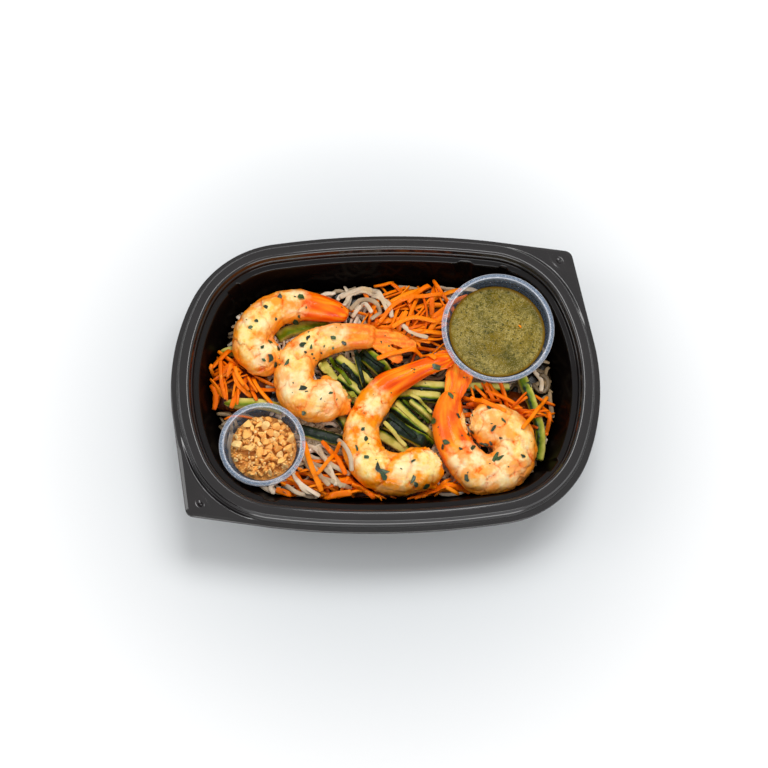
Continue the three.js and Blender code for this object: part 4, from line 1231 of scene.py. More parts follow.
# %% Lines, sizes, roll and the side where the skin is, in degrees
STICKS = {
    "under_left_shrimp": [[(-70, 28, 24.5), (-52, 36.5, 24), (-33, 41, 23)], 6.5, 5.5, 15, 75],
    "far_left": [[(-99.5, 23, 24), (-84, 23.5, 23.5)], 6, 5, 10, 60],
    "by_peanuts": [[(-92, -9, 27), (-70, -10, 26), (-48, -16, 24)], 5.5, 4.5, 20, 60],
    "centre_dark": [[(-14, 21.5, 26.5), (4, 5, 26)], 9, 6.5, 0, 80],
    "centre_strip": [[(-16.5, 17, 27.6), (-14.5, 8, 28.6), (-11.5, -3, 27)], 2.6, 6, 0, 100],
    "centre_a": [[(-40, 21, 23.4), (-29.5, 3.5, 23)], 6, 6, 15, 12],
    "centre_b": [[(-27.5, 18, 24), (-7, 1.5, 23.6)], 6, 6, -10, 36],
    "centre_c": [[(-27, 7, 22.7), (-11.5, -5.5, 22.6)], 5.5, 5.5, 0, 25],
    "centre_d": [[(-24, -4, 22.4), (-12, -12, 22.4)], 6, 5.5, 0, 30],
    "long": [[(3, 2.2, 25.6), (32, -1, 25.4), (71, -2.4, 24.6)], 5.5, 5.8, 0, 24],
    "under_long": [[(5, -4.2, 24.4), (31, -7, 24)], 6, 6.5, 0, 30],
    "ring_dark": [[(-6.5, -18.5, 27.2), (27, -37, 26.2)], 7.6, 6.4, 0, 85],
    "ring_a": [[(2, -11.5, 25.6), (28, -32.5, 25)], 5, 5.4, 15, 15],
    "ring_b": [[(6, -8.6, 22.6), (22, -26, 22.4)], 4.4, 5, 0, 150],
    "ring_c": [[(14, -8.5, 24.6), (29, -21.5, 24.6)], 3.6, 4.6, 0, 150],
    "ring_pale": [[(-7, -25.5, 23.4), (16, -40.5, 23)], 6.4, 5.8, -10, 160],
    "front_a": [[(-31, -9.5, 23.4), (-21.5, -25, 23)], 5.6, 5.6, 0, 28],
    "front_dark": [[(-50, -24.5, 24.4), (-22, -33, 24.2)], 6.4, 5, 0, 90],
    "right_curl": [[(78, 5, 25), (83, -11, 25.4), (86.6, -27, 25.4), (85.6, -43, 25.2), (81, -54, 25),
                    (73, -60, 24.6)], 5.6, 8.5, 0, 70],
}
POINTED, POINT_ROWS = ("far_left", "by_peanuts"), 13
# How much of the skin is peeled off
PEELED = {"under_left_shrimp": 0.75, "far_left": 0.7, "by_peanuts": 0.7, "right_curl": 0.42}
STICK_STEP, STICK_SIDES = 0.6, 44
LEAST_SHARE = 0.2  # of a stick's height, where it is wedged under a shrimp


def wedged(line, side, width, thick):
    """The share of its height that a stick can keep at each point under what lies on it."""
    bottom = line[:, 2] - thick / 2
    room = np.minimum.reduce([ceiling[cells_of(line + side * width * shift)] for shift in (-0.45, 0, 0.45)])
    share = np.clip((room - bottom - 0.1) / thick, 0, 1)
    return window(window(share, 2, np.min), 2, np.mean)


def stick_mesh(name, number):
    known, width, thick, roll, skin_side = STICKS[name]
    line = smooth_line(known, 400)
    length = np.linalg.norm(np.diff(line, axis=0), axis=1).sum()
    line = smooth_line(known, max(12, round(length / STICK_STEP)))
    draw = np.random.default_rng(number + 300)
    line[:, 2] += 0.25 * wobble(line, 18, number)
    _, side, _ = directions(line)
    kept = wedged(line, side, width, thick)
    line[:, 2] -= thick / 2 * (1 - kept)
    free = clear_of_walls(line, 1.0 if name in POINTED else width / 2) & (kept > LEAST_SHARE)
    batch = Batch()
    section = outline(STICK_SIDES, width / 2, thick / 2, 4.5)
    way = np.array([math.cos(math.radians(skin_side)), math.sin(math.radians(skin_side))])
    depth = (section @ way).max() - section @ way + PEELED.get(name, 0)
    for start, end in runs(free, 5) or [(0, len(line))]:
        part, share = line[start:end], kept[start:end]
        rows = len(part)
        scale = np.ones(rows)
        scale[[0, -1]], scale[[1, -2]] = 0.86, 0.97
        if name in POINTED:
            count = min(rows, POINT_ROWS)
            scale[:count] *= np.sqrt(np.linspace(0.04, 1, count))
        uneven = 1 + 0.035 * wobble(part, 7, number + 50)[:, None]
        sections = section * (scale[:, None] * uneven)[..., None]
        turned = turn_by(sections, np.full(rows, math.radians(roll)) + 0.06 * wobble(part, 25, number + 70))
        turned[..., 1] *= share[:, None]
        points, quads, tris = tube(part, turned)
        values = np.concatenate([np.repeat(depth[None], rows, 0).ravel(), [thick / 2, thick / 2]])
        batch.add(points, quads, tris, depth=values, tone=draw.uniform())
        for shift in np.linspace(-0.5, 0.5, 9):
            lane = cells_of(part + directions(part)[1] * width * shift)
            np.minimum.at(stick_floor, lane, part[:, 2] - share * thick / 2)
            np.maximum.at(ground, lane, part[:, 2] + share * thick / 2)
    return batch.mesh(f"zucchini_stick_{name}")


# %% Zucchini finish
def zucchini_material():
    made, tree, shader, where = material("zucchini")
    uneven = times(tree, plus(tree, mottle(tree, where, 260, 0.3, 0.7), -0.5), 0.35)
    level_ = times(tree, plus(tree, field(tree, "depth"), uneven), 0.25)  # 1 at four millimetres
    drawn = put(tree, "ShaderNodeVectorMath", {0: where, 1: (1.0, 1.0, 0.4)}, operation="MULTIPLY")
    streaks = mottle(tree, drawn.outputs["Vector"], 700, 0.5, 0.75)
    skin = blend(tree, streaks, colour(12, 26, 14), colour(38, 60, 20))
    flesh = blend(tree, mottle(tree, where, 160, 0.35, 0.7), colour(212, 198, 106), colour(180, 172, 66))
    lime = ramp(tree, level_, [(0.12, colour(66, 96, 0)), (0.34, colour(140, 150, 10)),
                               (0.6, colour(220, 214, 110))])
    under = blend(tree, ranged(tree, level_, 0.22, 0.5), lime, flesh)
    tint = blend(tree, ranged(tree, level_, 0.09, 0.16), skin, under)
    join(tree, shader, Base_Color=tint, Coat_Weight=0.12, Coat_Roughness=0.12, Specular_IOR_Level=0.15)
    wet(tree, shader, where, 330, 0.45, 0.25, 0.00012)
    return made


stick_floor = np.full(grid_shape, NO_CEILING)  # the sticks' undersides, for the noodles below
stick_material = zucchini_material()
for number, name in enumerate(STICKS):
    stick = stick_mesh(name, number)
    carry(show(stick, f"zucchini_stick_{name}", stick_material, [f"zucchini_{name}"]))

# %% [markdown]
# ## Where the carrot goes
# Shredded carrot lies on the noodles in four heaps. Their places are set before the
# noodles are laid, because noodles under a heap can't be seen and are left out.

# %% Heaps of carrot: middle, size, how the shreds run and spread, how many, and any painted shade
CARROTS = {
    "carrots_left": {"x": -86, "y": 4, "length": 44, "width": 33, "height": 7.5, "run": 70, "spread": 60,
                     "count": 150},
    "carrots_back": {"x": 15, "y": 41, "length": 58, "width": 44, "height": 10, "run": 25, "spread": 50,
                     "count": 240},
    "carrots_right": {"x": 69, "y": -14, "length": 44, "width": 24, "height": 7.5, "run": -25, "spread": 50,
                      "count": 150, "shade": 0.6},
    "carrots_front": {"x": -10, "y": -56, "length": 104, "width": 26, "height": 7, "run": -8, "spread": 38,
                      "count": 230},
}
SHRED_WIDTH, SHRED_THICKNESS = 2.4, 1.2
SHREDS_RISE, HIGHEST_SHRED = 4.2, 37  # above the heap's dome, and above the floor with one end up
LAYER_TOP = BED_TOP + 0.35

# %% [markdown]
# ## Rice noodles
# Flat rice noodles fill the tray's lower part. What is buried is one core, and the strands
# that show are ribbons laid along a soft flow that swirls, because noodles dropped into a
# tray fall in bundles that run side by side and turn back on themselves.

# %% Lay a strand on the map
def lay(line, half_width, half_thick, stiffness):
    """Rests a strand on the ground map. Returns the line and which points are free."""
    _, side, _ = directions(line)
    lanes = [cells_of(line + side * half_width * k) for k in (-0.8, 0, 0.8)]
    under = np.max([ground[lane] for lane in lanes], axis=0)
    over = window(np.min([ceiling[lane] for lane in lanes], axis=0), 2, np.min)
    soft = window(window(under, stiffness, np.max), stiffness, np.mean)
    line = line.copy()
    line[:, 2] += np.maximum(soft, under - 0.3) + half_thick
    line[:, 2] = np.minimum(line[:, 2], over - half_thick - 0.15)
    free = (line[:, 2] > BED_TOP) & clear_of_walls(line, half_width)
    return line, free


def note_top(line, half_width, half_thick):
    """Writes a laid strand's top into the ground map."""
    _, side, _ = directions(line)
    for shift in np.linspace(-0.8, 0.8, 5):
        np.maximum.at(ground, cells_of(line + side * half_width * shift), line[:, 2] + half_thick * 0.8)


# %% Ways that strands run
def flow(start, heading, length, bend, seed):
    """A level line that wanders from a start point, one millimetre a step, in soft bends."""
    draw = np.random.default_rng(seed)
    count = max(6, round(length))
    knots = draw.normal(size=max(3, round(length / 14)) + 2) * bend
    turning = np.interp(np.linspace(0, len(knots) - 1, count), np.arange(len(knots)), knots)
    return np.array([*start, 0.0]) + np.cumsum(circle(1.0, 0.0, heading + np.cumsum(turning)), 0)


def swirl(centre, radius, start, sweep, seed):
    """Part of a loose turn round a centre, with a soft wander in its radius."""
    count = max(8, round(radius * abs(sweep)))
    angle = np.linspace(start, start + sweep, count)
    line = circle(radius, 0.0, angle) + [*centre, 0.0]
    return line + 1.6 * np.stack([wobble(line, 16, seed), wobble(line, 16, seed + 1), np.zeros(count)], -1)


# %% Noodles: size, how they lie, where they show
NOODLE_WIDTH, NOODLE_THICKNESS = 2.7, 1.1
NOODLE_REST = (1.2, 0.7)  # half the width and thickness that a laid noodle takes up
NOODLE_BUNDLES, NOODLES_RISE = 420, 4.2
# Painted shade on the noodles: between the sticks, at the right end, behind the left shrimp, by the peanuts
SHADED_PLACES = [(2, -8, 36), (90, -10, 20), (-93, 32, 17), (-97, -17, 13)]  # x, y, radius
OPEN_PLACES = [(-9, 38), (-48, -52), (85, -8), (-34, -30), (-98, -30)]  # where noodles show


def ribbon(batch, line, width, thickness, roll, sides, power, step=2, **fields):
    """Adds a flat strand with rounded ends, turned by roll, with one row each step points."""
    every = np.unique(np.append(np.arange(0, len(line), step), len(line) - 1))
    line, roll, rows = line[every], roll[every], len(every)
    scale = np.ones(rows)
    scale[[0, -1]], scale[[1, -2]] = 0.7, 0.93
    sections = outline(sides, width / 2, thickness / 2, power) * scale[:, None, None]
    batch.add(*tube(line, turn_by(sections, roll)), **fields)


# %% The noodle bed and the strands on it
CORE_TOP, CORE_FOOT = 18.3, 1.1


def noodle_core():
    """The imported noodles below: level, filling the tray, dented where the cups stand."""
    rows = []
    for offset, height in ((-29.6, CORE_FOOT), (-24.8, 2.7), (-22, 7.9), (-18.9, 17.4), (-19.6, 18.4)):
        ring = off_rim(offset)[::3]
        rows.append(np.column_stack([ring, np.full(len(ring), height)]))
    edge = rows[-1]
    for share in np.linspace(0.96, 0.02, 46):
        ring = edge * [share, share, 1]
        ring[:, 2] = CORE_TOP + 0.35 * wobble(ring, 5, 60)
        for cup in (SAUCE_CUP, PEANUT_CUP):
            foot = cup["radius"] - CUP_FLANGE - CUP_DRAFT + (18 - cup["base"]) * 0.3
            away = np.hypot(ring[:, 0] - cup["x"], ring[:, 1] - cup["y"])
            ring[:, 2] = np.where(away < foot + 1.5, cup["base"] - 1.2, ring[:, 2])
        rows.append(ring)
    return closed_ring(np.array(rows)[::-1], [(0, 0, CORE_TOP), (0, 0, CORE_FOOT)])


def noodle_mesh():
    batch = Batch()
    # Painted shade: the core takes tone 0, near black-brown, for the shade deep between the strands.
    batch.add(*noodle_core(), tone=0.0)
    draw = np.random.default_rng(77)
    blocked = np.minimum(ceiling, stick_floor)
    gy, gx = np.mgrid[0 : grid_shape[0], 0 : grid_shape[1]] * CELL
    for heap in CARROTS.values():
        along = (gx - MAP_X - heap["x"]) / heap["length"] * 2
        across_ = (gy - MAP_Y - heap["y"]) / heap["width"] * 2
        blocked[along**2 + across_**2 < 0.45] = 0
    keep, count = ceiling.copy(), 0
    ceiling[:] = blocked
    for number in range(NOODLE_BUNDLES):
        centre = np.array([draw.uniform(-98, 98), draw.uniform(-66, 66)])
        if number % 2 == 0:
            centre = np.array(OPEN_PLACES[number // 2 % len(OPEN_PLACES)]) + draw.normal(size=2) * 8
        start, sweep = draw.uniform(0, TURN), draw.choice([-1, 1]) * draw.uniform(2, 5)
        radius, seed = draw.uniform(4, 20), int(draw.integers(1 << 20))
        for _ in range(draw.integers(2, 5)):
            line = swirl(centre, radius, start + draw.normal() * 0.15, sweep, seed)
            radius += draw.uniform(2.2, 3.2)
            roll = np.radians(draw.uniform(-50, 50)) + 0.5 * wobble(line, 40, number)
            line, free = lay(line, *NOODLE_REST, 6)
            free &= line[:, 2] < BED_TOP + NOODLES_RISE
            for a, b in runs(free, 15):
                middle = line[a:b].mean(0)
                shaded = any(math.dist(middle[:2], (x, y)) < size for x, y, size in SHADED_PLACES)
                width = NOODLE_WIDTH * draw.uniform(0.8, 1.1)
                ribbon(batch, line[a:b], width, NOODLE_THICKNESS, roll[a:b], 8, 3,
                       tone=draw.uniform(0.35, 1) * (0.3 if shaded else 1))
                note_top(line[a:b], *NOODLE_REST)
                count += 1
    ceiling[:] = keep
    print(f"{count} noodles laid")
    return batch.mesh("rice_noodles")


# %% Noodle finish
def noodle_material():
    made, tree, shader, where = material("rice noodle")
    tone = field(tree, "tone")
    # Tone 0 and the low tones of shaded strands are painted shade; other tones differ at random.
    base = ramp(tree, tone, [(0.0, colour(34, 25, 14)), (0.35, colour(168, 142, 108)),
                             (0.65, colour(220, 198, 170)), (1.0, colour(246, 230, 210))])
    stain = times(tree, mottle(tree, where, 90, 0.5, 0.75), tone)
    join(tree, shader, Base_Color=blend(tree, stain, base, colour(206, 168, 112)), Specular_IOR_Level=0.3,
         Coat_Weight=0.15, Subsurface_Weight=0.15, Subsurface_Radius=(0.004, 0.003, 0.002))
    wet(tree, shader, where, 300, 0.4, 0.25, 0.00003)
    return made


strand_material = noodle_material()
carry(show(noodle_mesh(), "rice_noodles", strand_material, ["noodles"]))

# %% [markdown]
# ## Carrot shreds
# Raw carrot shreds are long thin sticks with square edges. A heap of them is a low dome
# that ends at the tray's wall and can't be seen through its shreds. The shreds are laid on
# it one by one with the height map, mostly along the heap's own run, some across.

# %% A heap's dome
def dome_height(heap, x, y):
    out = ((x - heap["x"]) / (heap["length"] / 2)) ** 2 + ((y - heap["y"]) / (heap["width"] / 2)) ** 2
    return LAYER_TOP + heap["height"] * np.sqrt(np.maximum(0, 1 - out)), out


def on_heap(heap, share, angle):
    """Places on a heap's oval: at an angle, some share of the way out."""
    return (heap["x"] + share * heap["length"] / 2 * np.cos(angle),
            heap["y"] + share * heap["width"] / 2 * np.sin(angle))


def heap_reach(heap, angle):
    """The share of its half length and width that a core can take at each angle."""
    share = np.linspace(0.02, 0.97, 96)[:, None]
    x, y = on_heap(heap, share, angle)
    clear = np.ones(x.shape, bool)
    for height in (BED_TOP - 0.8, BED_TOP + heap["height"]):
        spots = np.stack([x, y, np.full_like(x, height)], -1).reshape(-1, 3)
        clear &= clear_of_walls(spots, 0.5).reshape(x.shape)
    return share[np.maximum(np.cumprod(clear, 0).sum(0) - 1, 0), 0]


def heap_core(heap, batch):
    """A bumpy dome under the shreds, kept below the shrimp and clear of the walls and cups."""
    rows, sides = 22, 90
    angle = np.arange(sides) / sides * TURN
    x, y = on_heap(heap, np.linspace(1, 0.02, rows)[:, None] * heap_reach(heap, angle), angle)
    flat = np.stack([x, y, np.zeros_like(x)], -1).reshape(-1, 3)
    z = dome_height(heap, flat[:, 0], flat[:, 1])[0] - 1.2 + 0.5 * wobble(flat, 4, 90)
    flat[:, 2] = np.maximum(np.minimum(z, ceiling[cells_of(flat)] - 0.4), BED_TOP - 0.6)
    top = flat.reshape(rows, sides, 3)
    low = top[:1] * [1, 1, 0] + [0, 0, BED_TOP - 0.8]
    # Painted shade: the core takes tone 0, near black-brown, for the shade between the shreds.
    batch.add(*closed_ring(np.concatenate([low, top])[::-1], [top[-1].mean(0), low[0].mean(0)]), tone=0.0)
    laid = flat[flat[:, 2] > BED_TOP]
    np.maximum.at(ground, cells_of(laid), laid[:, 2])


# %% Lay the shreds
def shred_line(heap, draw):
    angle, out = draw.uniform(0, TURN), math.sqrt(draw.uniform()) * 1.06
    middle = np.array([heap["x"] + math.cos(angle) * out * heap["length"] / 2,
                       heap["y"] + math.sin(angle) * out * heap["width"] / 2])
    heading = math.radians(heap["run"] + draw.uniform(-1, 1) * heap["spread"])
    heading += (draw.uniform() < 0.25) * draw.normal()
    length = draw.choice([draw.uniform(16, 30), draw.uniform(30, 60)])
    start = middle - np.array([math.cos(heading), math.sin(heading)]) * length / 2
    return flow(start, heading, length, draw.uniform(0.006, 0.05), int(draw.integers(1 << 30)))


def raise_end(part, draw):
    """Lifts one end of a shred clear of the heap, unless something lies over it."""
    rows = len(part)
    share = np.linspace(0, 1, rows) if draw.uniform() < 0.5 else np.linspace(1, 0, rows)
    lifted = part.copy()
    lift = draw.uniform(0.12, 0.5) * rows * np.maximum(share - 0.45, 0) ** 2
    lifted[:, 2] += lift * draw.choice([0.4, 1.0])
    over = np.minimum(ceiling[cells_of(lifted)] - SHRED_WIDTH / 2, HIGHEST_SHRED)
    return lifted if (lifted[:, 2] < over).all() and clear_of_walls(lifted, 1).all() else part


def heap_mesh(name, seed):
    heap, draw = CARROTS[name], np.random.default_rng(seed)
    batch = Batch()
    heap_core(heap, batch)
    laid = 0
    for _ in range(heap["count"] * 3):
        if laid >= heap["count"]:
            break
        line, free = lay(shred_line(heap, draw), SHRED_WIDTH / 2, SHRED_THICKNESS / 2, 4)
        dome, out = dome_height(heap, line[:, 0], line[:, 1])
        if np.mean(line[:, 2] < dome + SHREDS_RISE) < 0.7:
            continue
        free &= out < 1.9
        for a, b in sorted(runs(free, 11), key=lambda run: run[0] - run[1])[:1]:
            part = line[a:b]
            if open_above(part).sum() < 13:
                continue
            note_top(part, SHRED_WIDTH / 2, SHRED_THICKNESS / 2)
            part = raise_end(part, draw) if draw.uniform() < 0.3 else part
            roll = np.radians(draw.uniform(-55, 55)) + np.linspace(0, draw.normal() * 0.6, b - a)
            width = SHRED_WIDTH * draw.choice([0.55, 0.75, 0.95, 1.25])
            # Painted shade: a heap's shade darkens the tone of its shreds.
            ribbon(batch, part, width, SHRED_THICKNESS * draw.uniform(0.5, 1), roll, 8, 7,
                   tone=draw.uniform(0.25, 1) * heap.get("shade", 1))
            laid += 1
    print(f"{name}: {laid} shreds")
    return batch.mesh(f"{name}_shreds")


# %% Carrot finish
def carrot_material():
    made, tree, shader, where = material("carrot")
    # Tone 0 is painted shade, for the heap's core; shred tones differ at random.
    base = ramp(tree, field(tree, "tone"), [(0.0, colour(84, 30, 2)), (0.25, colour(226, 94, 0)),
                                            (0.65, colour(252, 124, 0)), (1.0, colour(255, 146, 16))])
    heart = blend(tree, mottle(tree, where, 240, 0.55, 0.8), base, colour(255, 160, 30))
    join(tree, shader, Base_Color=heart, Specular_IOR_Level=0.15, Coat_Weight=0.12, Subsurface_Weight=0.08,
         Subsurface_Radius=(0.004, 0.0015, 0.0005))
    wet(tree, shader, where, 500, 0.5, 0.3, 0.0001)
    return made


shred_material = carrot_material()
for number, name in enumerate(CARROTS):
    carry(show(heap_mesh(name, 500 + number), f"{name}_shreds", shred_material, [name]))

# %% [markdown]
# ## Strands and slices on top
# A few loose noodles and shreds lie across the others, and thin slices of zucchini on the
# sticks. Each is given by the pixels of the view that it passes over. Rays from the camera
# find those places on the food, and the strand is draped over the highest food below it,
# so that it also rests on the food when seen from any other side.

# %% Rays to the food
SKY = 60  # above all the food, where the rays straight down start


def first_hit(start, way):
    """Where a ray first meets the food: the point and the surface's normal."""
    best = (None, None, 1e9)
    for tree in trees:
        point, normal, _, far = tree.ray_cast(Vector(start), Vector(way))
        if point is not None and far < best[2]:
            best = (np.array(point), np.array(normal), far)
    return best[0], best[1]


def under_pixel(x, y):
    return first_hit(eye, sight(x, y))


def from_above(x, y):
    return first_hit([x, y, SKY], [0, 0, -1])


# %% Strands that lie on top: the pixels each passes over, its width and its thickness
LOOSE_CARROTS = [
    ([(377, 359), (396, 353), (415, 353), (436, 359)], 2.8, 1.0),
    ([(221, 362), (222, 384), (226, 400)], 2.2, 1.2), ([(206, 404), (207, 388), (214, 370)], 2.0, 1.2),
    ([(379, 326), (399, 302), (442, 297)], 2.4, 1.0), ([(408, 303), (420, 294), (431, 289)], 2.8, 1.2),
    ([(522, 429), (535, 413), (547, 398)], 2.2, 1.3), ([(541, 406), (547, 420), (546, 436)], 2.4, 1.0),
    ([(276, 490), (308, 501), (352, 498)], 3.6, 1.4), ([(304, 442), (312, 468), (322, 492)], 3.0, 1.0),
    ([(322, 441), (336, 458), (346, 476)], 2.8, 1.0), ([(341, 447), (329, 460), (317, 475)], 2.2, 1.0),
    ([(234, 372), (238, 385), (252, 398)], 2.6, 1.0), ([(470, 398), (488, 404), (506, 412)], 2.6, 1.0),
    ([(392, 330), (410, 322), (436, 322)], 2.6, 1.0),
]
LOOSE_NOODLES = [
    ([(340, 301), (358, 291), (374, 293), (386, 306)], 2.9, 1.2),
    ([(350, 313), (360, 301), (374, 303), (380, 314), (371, 321)], 2.7, 1.2),
    ([(352, 318), (363, 307), (372, 313)], 2.5, 1.1), ([(534, 371), (541, 381), (540, 394)], 2.6, 1.1),
    ([(303, 459), (326, 472), (342, 488)], 2.7, 1.1), ([(310, 466), (321, 478), (330, 490)], 2.7, 1.1),
    ([(297, 480), (304, 490), (316, 497)], 2.7, 1.1), ([(283, 480), (271, 487), (275, 497)], 2.6, 1.1),
    ([(372, 300), (388, 306), (392, 318)], 2.6, 1.1), ([(402, 325), (412, 333), (428, 338)], 2.6, 1.1),
    ([(292, 470), (300, 484), (320, 497)], 2.7, 1.1), ([(318, 446), (328, 462), (350, 476)], 2.7, 1.1),
    ([(338, 440), (350, 456), (352, 472)], 2.6, 1.1),
    ([(302, 452), (312, 470), (338, 484), (352, 490)], 2.7, 1.1),
    ([(307, 446), (320, 455), (330, 470), (336, 486)], 2.6, 1.1),
    ([(286, 486), (300, 496), (318, 499)], 2.6, 1.1),
    ([(344, 306), (352, 297), (366, 292), (380, 297), (388, 312)], 2.8, 1.1),
]
SLIVERS = [  # and how far below the skin the slice was cut
    ([(395, 404), (410, 416), (428, 432)], 2.6, 0.9, 2.2),
    ([(403, 400), (418, 412), (431, 425)], 2.0, 0.9, 0.7),
    ([(386, 411), (402, 425), (416, 438)], 3.0, 1.0, 0.1),
    ([(383, 424), (394, 434), (406, 447)], 2.4, 0.9, 2.2),
    ([(410, 395), (421, 404), (433, 414)], 1.8, 0.9, 2.0),
    ([(318, 361), (325, 372), (331, 385)], 2.8, 1.0, 2.2),
    ([(327, 358), (339, 371), (351, 385)], 2.2, 0.9, 0.8),
    ([(336, 383), (348, 392), (359, 402)], 3.2, 1.0, 1.2),
    ([(352, 351), (361, 363), (372, 378)], 2.4, 0.9, 0.1),
    ([(363, 352), (373, 360), (385, 368)], 2.4, 1.0, 0.1),
    ([(345, 366), (352, 377), (362, 390)], 2.6, 0.9, 0.1),
]
SAUCE_CRUMB = (520, 326)  # the pixel of a scrap of carrot that floats on the sauce
CRUMB_SIZE = 2.4
DRAPE_STEP = 0.8


# %% Drape the strands
def at_height(x, y, z):
    """The place at a height that shows at a pixel."""
    way = sight(x, y)
    return eye + way * (z - eye[2]) / way[2]


def draped(path, thickness):
    """A line through the places under some pixels that rests on the highest food below."""
    places = [under_pixel(*pixel)[0] for pixel in path]
    places = [at_height(*pixel, BED_TOP + 2) if at is None else at for pixel, at in zip(path, places)]
    length = np.linalg.norm(np.diff(places, axis=0), axis=1).sum()
    line = smooth_line(places, max(8, round(length / DRAPE_STEP)))
    tops = [from_above(x, y)[0] for x, y, _ in line]
    under = np.array([BED_TOP if top is None else top[2] for top in tops])
    line[:, 2] = window(window(under, 3, np.max), 3, np.mean) + thickness / 2 + 0.1
    return line


def loose_strands(name, strands, seed, power, crumbs=()):
    """Strands by their paths, width and thickness, and crumbs that float on the sauce."""
    draw = np.random.default_rng(seed)
    batch = Batch()
    for path, width, thickness, *depth in strands:
        line = draped(path, thickness)
        beyond, out = past_wall(line)
        line[:, :2] -= out * np.maximum(beyond + width / 2 + WALL_GAP, 0)[:, None]
        free = clear_of_walls(line, width / 2) & (line[:, 2] < TOP)
        if depth:
            free &= open_above(line)
        if not runs(free, 4):
            continue
        a, b = max(runs(free, 4), key=lambda run: run[1] - run[0])
        roll = np.radians(draw.uniform(-20, 20)) + 0.3 * wobble(line, 14, round(width * 100))
        fields = {"depth": depth[0]} if depth else {}
        ribbon(batch, line[a:b], width, thickness, roll[a:b], 12, power, step=1, tone=draw.uniform(0.4, 0.85),
               **fields)
    for pixel in crumbs:
        points, faces = chip(draw, CRUMB_SIZE, 2)
        batch.add(points + at_height(*pixel, SAUCE_LEVEL + CRUMB_SIZE / 4), [], faces, tone=1.0)
    return batch.mesh(name)


slivers = loose_strands("zucchini_slivers", SLIVERS, 609, 4)
carry(show(slivers, "zucchini_slivers", stick_material))
noodles = loose_strands("loose_noodles", LOOSE_NOODLES, 610, 3)
carry(show(noodles, "loose_noodles", strand_material))
shreds = loose_strands("loose_carrots", LOOSE_CARROTS, 611, 6, [SAUCE_CRUMB])
carry(show(shreds, "loose_carrots", shred_material))

# %% [markdown]
# ## Chopped herbs
# Chopped basil and parsley lie on everything. A flake is a thin bent leaf scrap with an
# uneven outline, closed on both sides, that lies on the surface which its ray meets. The
# larger flakes have places of their own, and the specks are strewn at random.

# %% A scrap of leaf
def leaf_scrap(draw, length, width, thick=0.22, sides=7):
    """A bent scrap with an uneven outline, as a top and a bottom face joined at the edge."""
    angle = (np.arange(sides) + draw.uniform(-0.35, 0.35, sides)) / sides * TURN
    edge = 1 + draw.uniform(-0.42, 0.3, sides)
    x, y = np.cos(angle) * edge * length / 2, np.sin(angle) * edge * width / 2
    flat = np.array([np.stack([x * k, y * k], 1) for k in (0.02, 0.5, 0.9, 1.0)])
    crease = np.cos(flat[..., 0] / length * 3 + draw.uniform(-1, 1)) * width / 8
    crease += flat[..., 1] ** 2 / width * draw.uniform(-0.5, 0.5)
    half = np.array([1, 1, 0.8, 0.25])[:, None] * thick / 2
    top, low = (np.dstack([flat, crease + side * half]) for side in (1, -1))
    return closed_ring(np.concatenate([top, low[::-1]]), [top[0].mean(0), low[0].mean(0)])


def set_down(points, at, normal, turn, lift):
    """Stands a shape on a surface point, turned round the normal."""
    first = unit(np.cross(normal, [math.sin(turn), math.cos(turn), 0.3]))
    second = np.cross(normal, first)
    return at + normal * lift + points @ np.stack([first, second, normal])


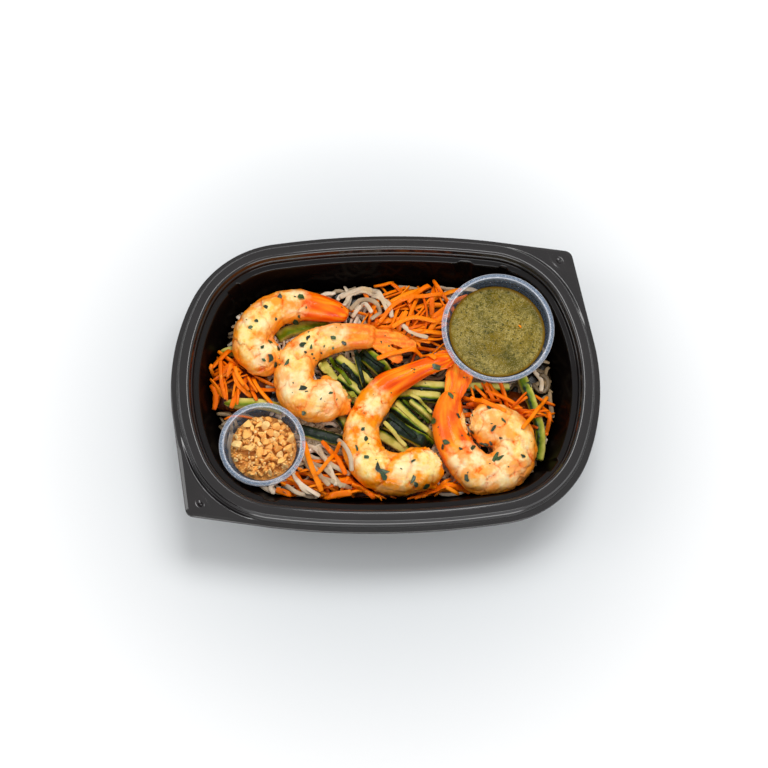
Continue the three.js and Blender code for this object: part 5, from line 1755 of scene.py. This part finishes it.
# %% Flakes: pixel x, pixel y, length and width in mm
FLAKES = [
    (280, 297, 4.2, 1.8), (301, 298, 4.0, 3.0), (266, 307, 2.6, 1.4), (276, 319, 1.8, 1.2),
    (256, 321, 2.0, 1.8), (250, 327, 2.6, 1.5), (270, 342, 2.8, 1.8), (262, 347, 3.4, 1.5),
    (278, 349, 4.2, 2.2), (271, 358, 4.4, 3.0), (264, 360, 2.4, 2.0), (275, 365, 3.0, 1.6),
    (280, 365, 1.6, 1.2), (296, 322, 5.0, 2.8), (282, 329, 3.8, 2.4), (292, 326, 3.2, 1.8),
    (299, 317, 3.4, 1.6), (308, 338, 3.4, 1.5), (303, 345, 3.6, 2.4), (311, 347, 2.2, 1.6),
    (305, 352, 1.8, 1.0), (312, 354, 1.5, 1.0), (314, 358, 1.5, 1.0), (321, 353, 1.6, 1.0),
    (324, 346, 1.4, 0.9), (333, 348, 1.6, 1.1), (334, 338, 3.0, 1.8), (344, 343, 2.6, 2.0),
    (286, 363, 4.6, 1.4), (303, 388, 4.0, 2.8), (331, 393, 2.2, 1.4), (304, 413, 2.8, 1.8),
    (341, 353, 4.5, 2.6), (342, 360, 4.0, 2.6), (338, 365, 3.6, 2.4), (346, 366, 4.2, 2.2),
    (329, 369, 3.6, 2.4), (333, 372, 3.2, 1.8), (437, 367, 5.0, 2.4), (423, 386, 3.6, 2.0),
    (363, 429, 2.6, 1.6), (366, 439, 3.0, 2.2), (357, 448, 3.4, 1.2), (367, 457, 3.2, 2.0),
    (351, 465, 2.0, 1.2), (378, 468, 5.6, 2.2), (383, 471, 5.2, 2.4), (384, 476, 4.6, 2.2),
    (413, 461, 3.4, 1.2), (413, 479, 5.4, 1.6), (416, 484, 4.2, 1.8), (426, 486, 4.4, 2.8),
    (451, 396, 4.6, 2.0), (434, 421, 5.2, 2.6), (458, 416, 3.0, 1.4), (446, 442, 4.2, 2.2),
    (443, 447, 3.4, 1.6), (461, 449, 2.6, 1.4), (468, 435, 4.6, 2.4), (473, 432, 3.6, 2.2),
    (473, 448, 4.8, 2.0), (484, 444, 4.6, 1.8), (491, 443, 3.4, 1.4), (494, 428, 4.4, 1.6),
    (503, 420, 3.2, 1.2), (501, 438, 4.6, 1.2), (489, 408, 2.6, 1.2), (494, 460, 8.5, 1.8),
    (500, 458, 4.6, 1.6), (523, 456, 3.4, 1.4), (467, 478, 4.4, 2.2), (520, 397, 5.0, 3.4),
    (516, 401, 4.6, 3.0), (524, 402, 4.4, 2.8), (527, 386, 4.8, 3.0), (407, 335, 4.6, 1.6),
    (413, 333, 3.8, 1.4), (320, 437, 5.0, 3.0), (316, 433, 3.8, 2.2), (285, 490, 4.8, 1.8),
]
HERB_SPECKS = 110
STREWN_X, STREWN_Y = (-92, 88), (-60, 52)
LOWEST_SPECK = 22  # specks that fall lower, or on a steep flank, are left out

# %% Strew the herbs
def herb_mesh():
    draw = np.random.default_rng(91)
    batch = Batch()
    for x, y, length, width in FLAKES:
        at, normal = under_pixel(x, y)
        if at is None:
            continue
        points, quads, tris = leaf_scrap(draw, length * 1.25, width * 1.35)
        placed = set_down(points, at, normal, draw.uniform(0, TURN), 0.3)
        batch.add(placed, quads, tris, tone=draw.uniform())
    for _ in range(HERB_SPECKS):
        at, normal = from_above(draw.uniform(*STREWN_X), draw.uniform(*STREWN_Y))
        if at is None or at[2] < LOWEST_SPECK or normal[2] < 0.35:
            continue
        size = draw.uniform(0.5, 1.3)
        points, quads, tris = leaf_scrap(draw, size * draw.uniform(1, 1.8), size, thick=0.18, sides=5)
        batch.add(set_down(points, at, normal, draw.uniform(0, TURN), 0.08), quads, tris, tone=draw.uniform())
    return batch.mesh("herb_flakes")


# %% Herb finish
def herb_material():
    made, tree, shader, where = material("herb")
    base = ramp(tree, field(tree, "tone"), [(0.0, colour(22, 40, 22)), (0.5, colour(36, 66, 30)),
                                            (1.0, colour(70, 98, 44))])
    veins = blend(tree, mottle(tree, where, 900, 0.45, 0.7), base, colour(18, 30, 20))
    join(tree, shader, Base_Color=veins, Coat_Weight=0.2, Coat_Roughness=0.2)
    wet(tree, shader, where, 900, 0.5, 0.3, 0.00008)
    return made


show(herb_mesh(), "herb_flakes", herb_material(), smooth=False)
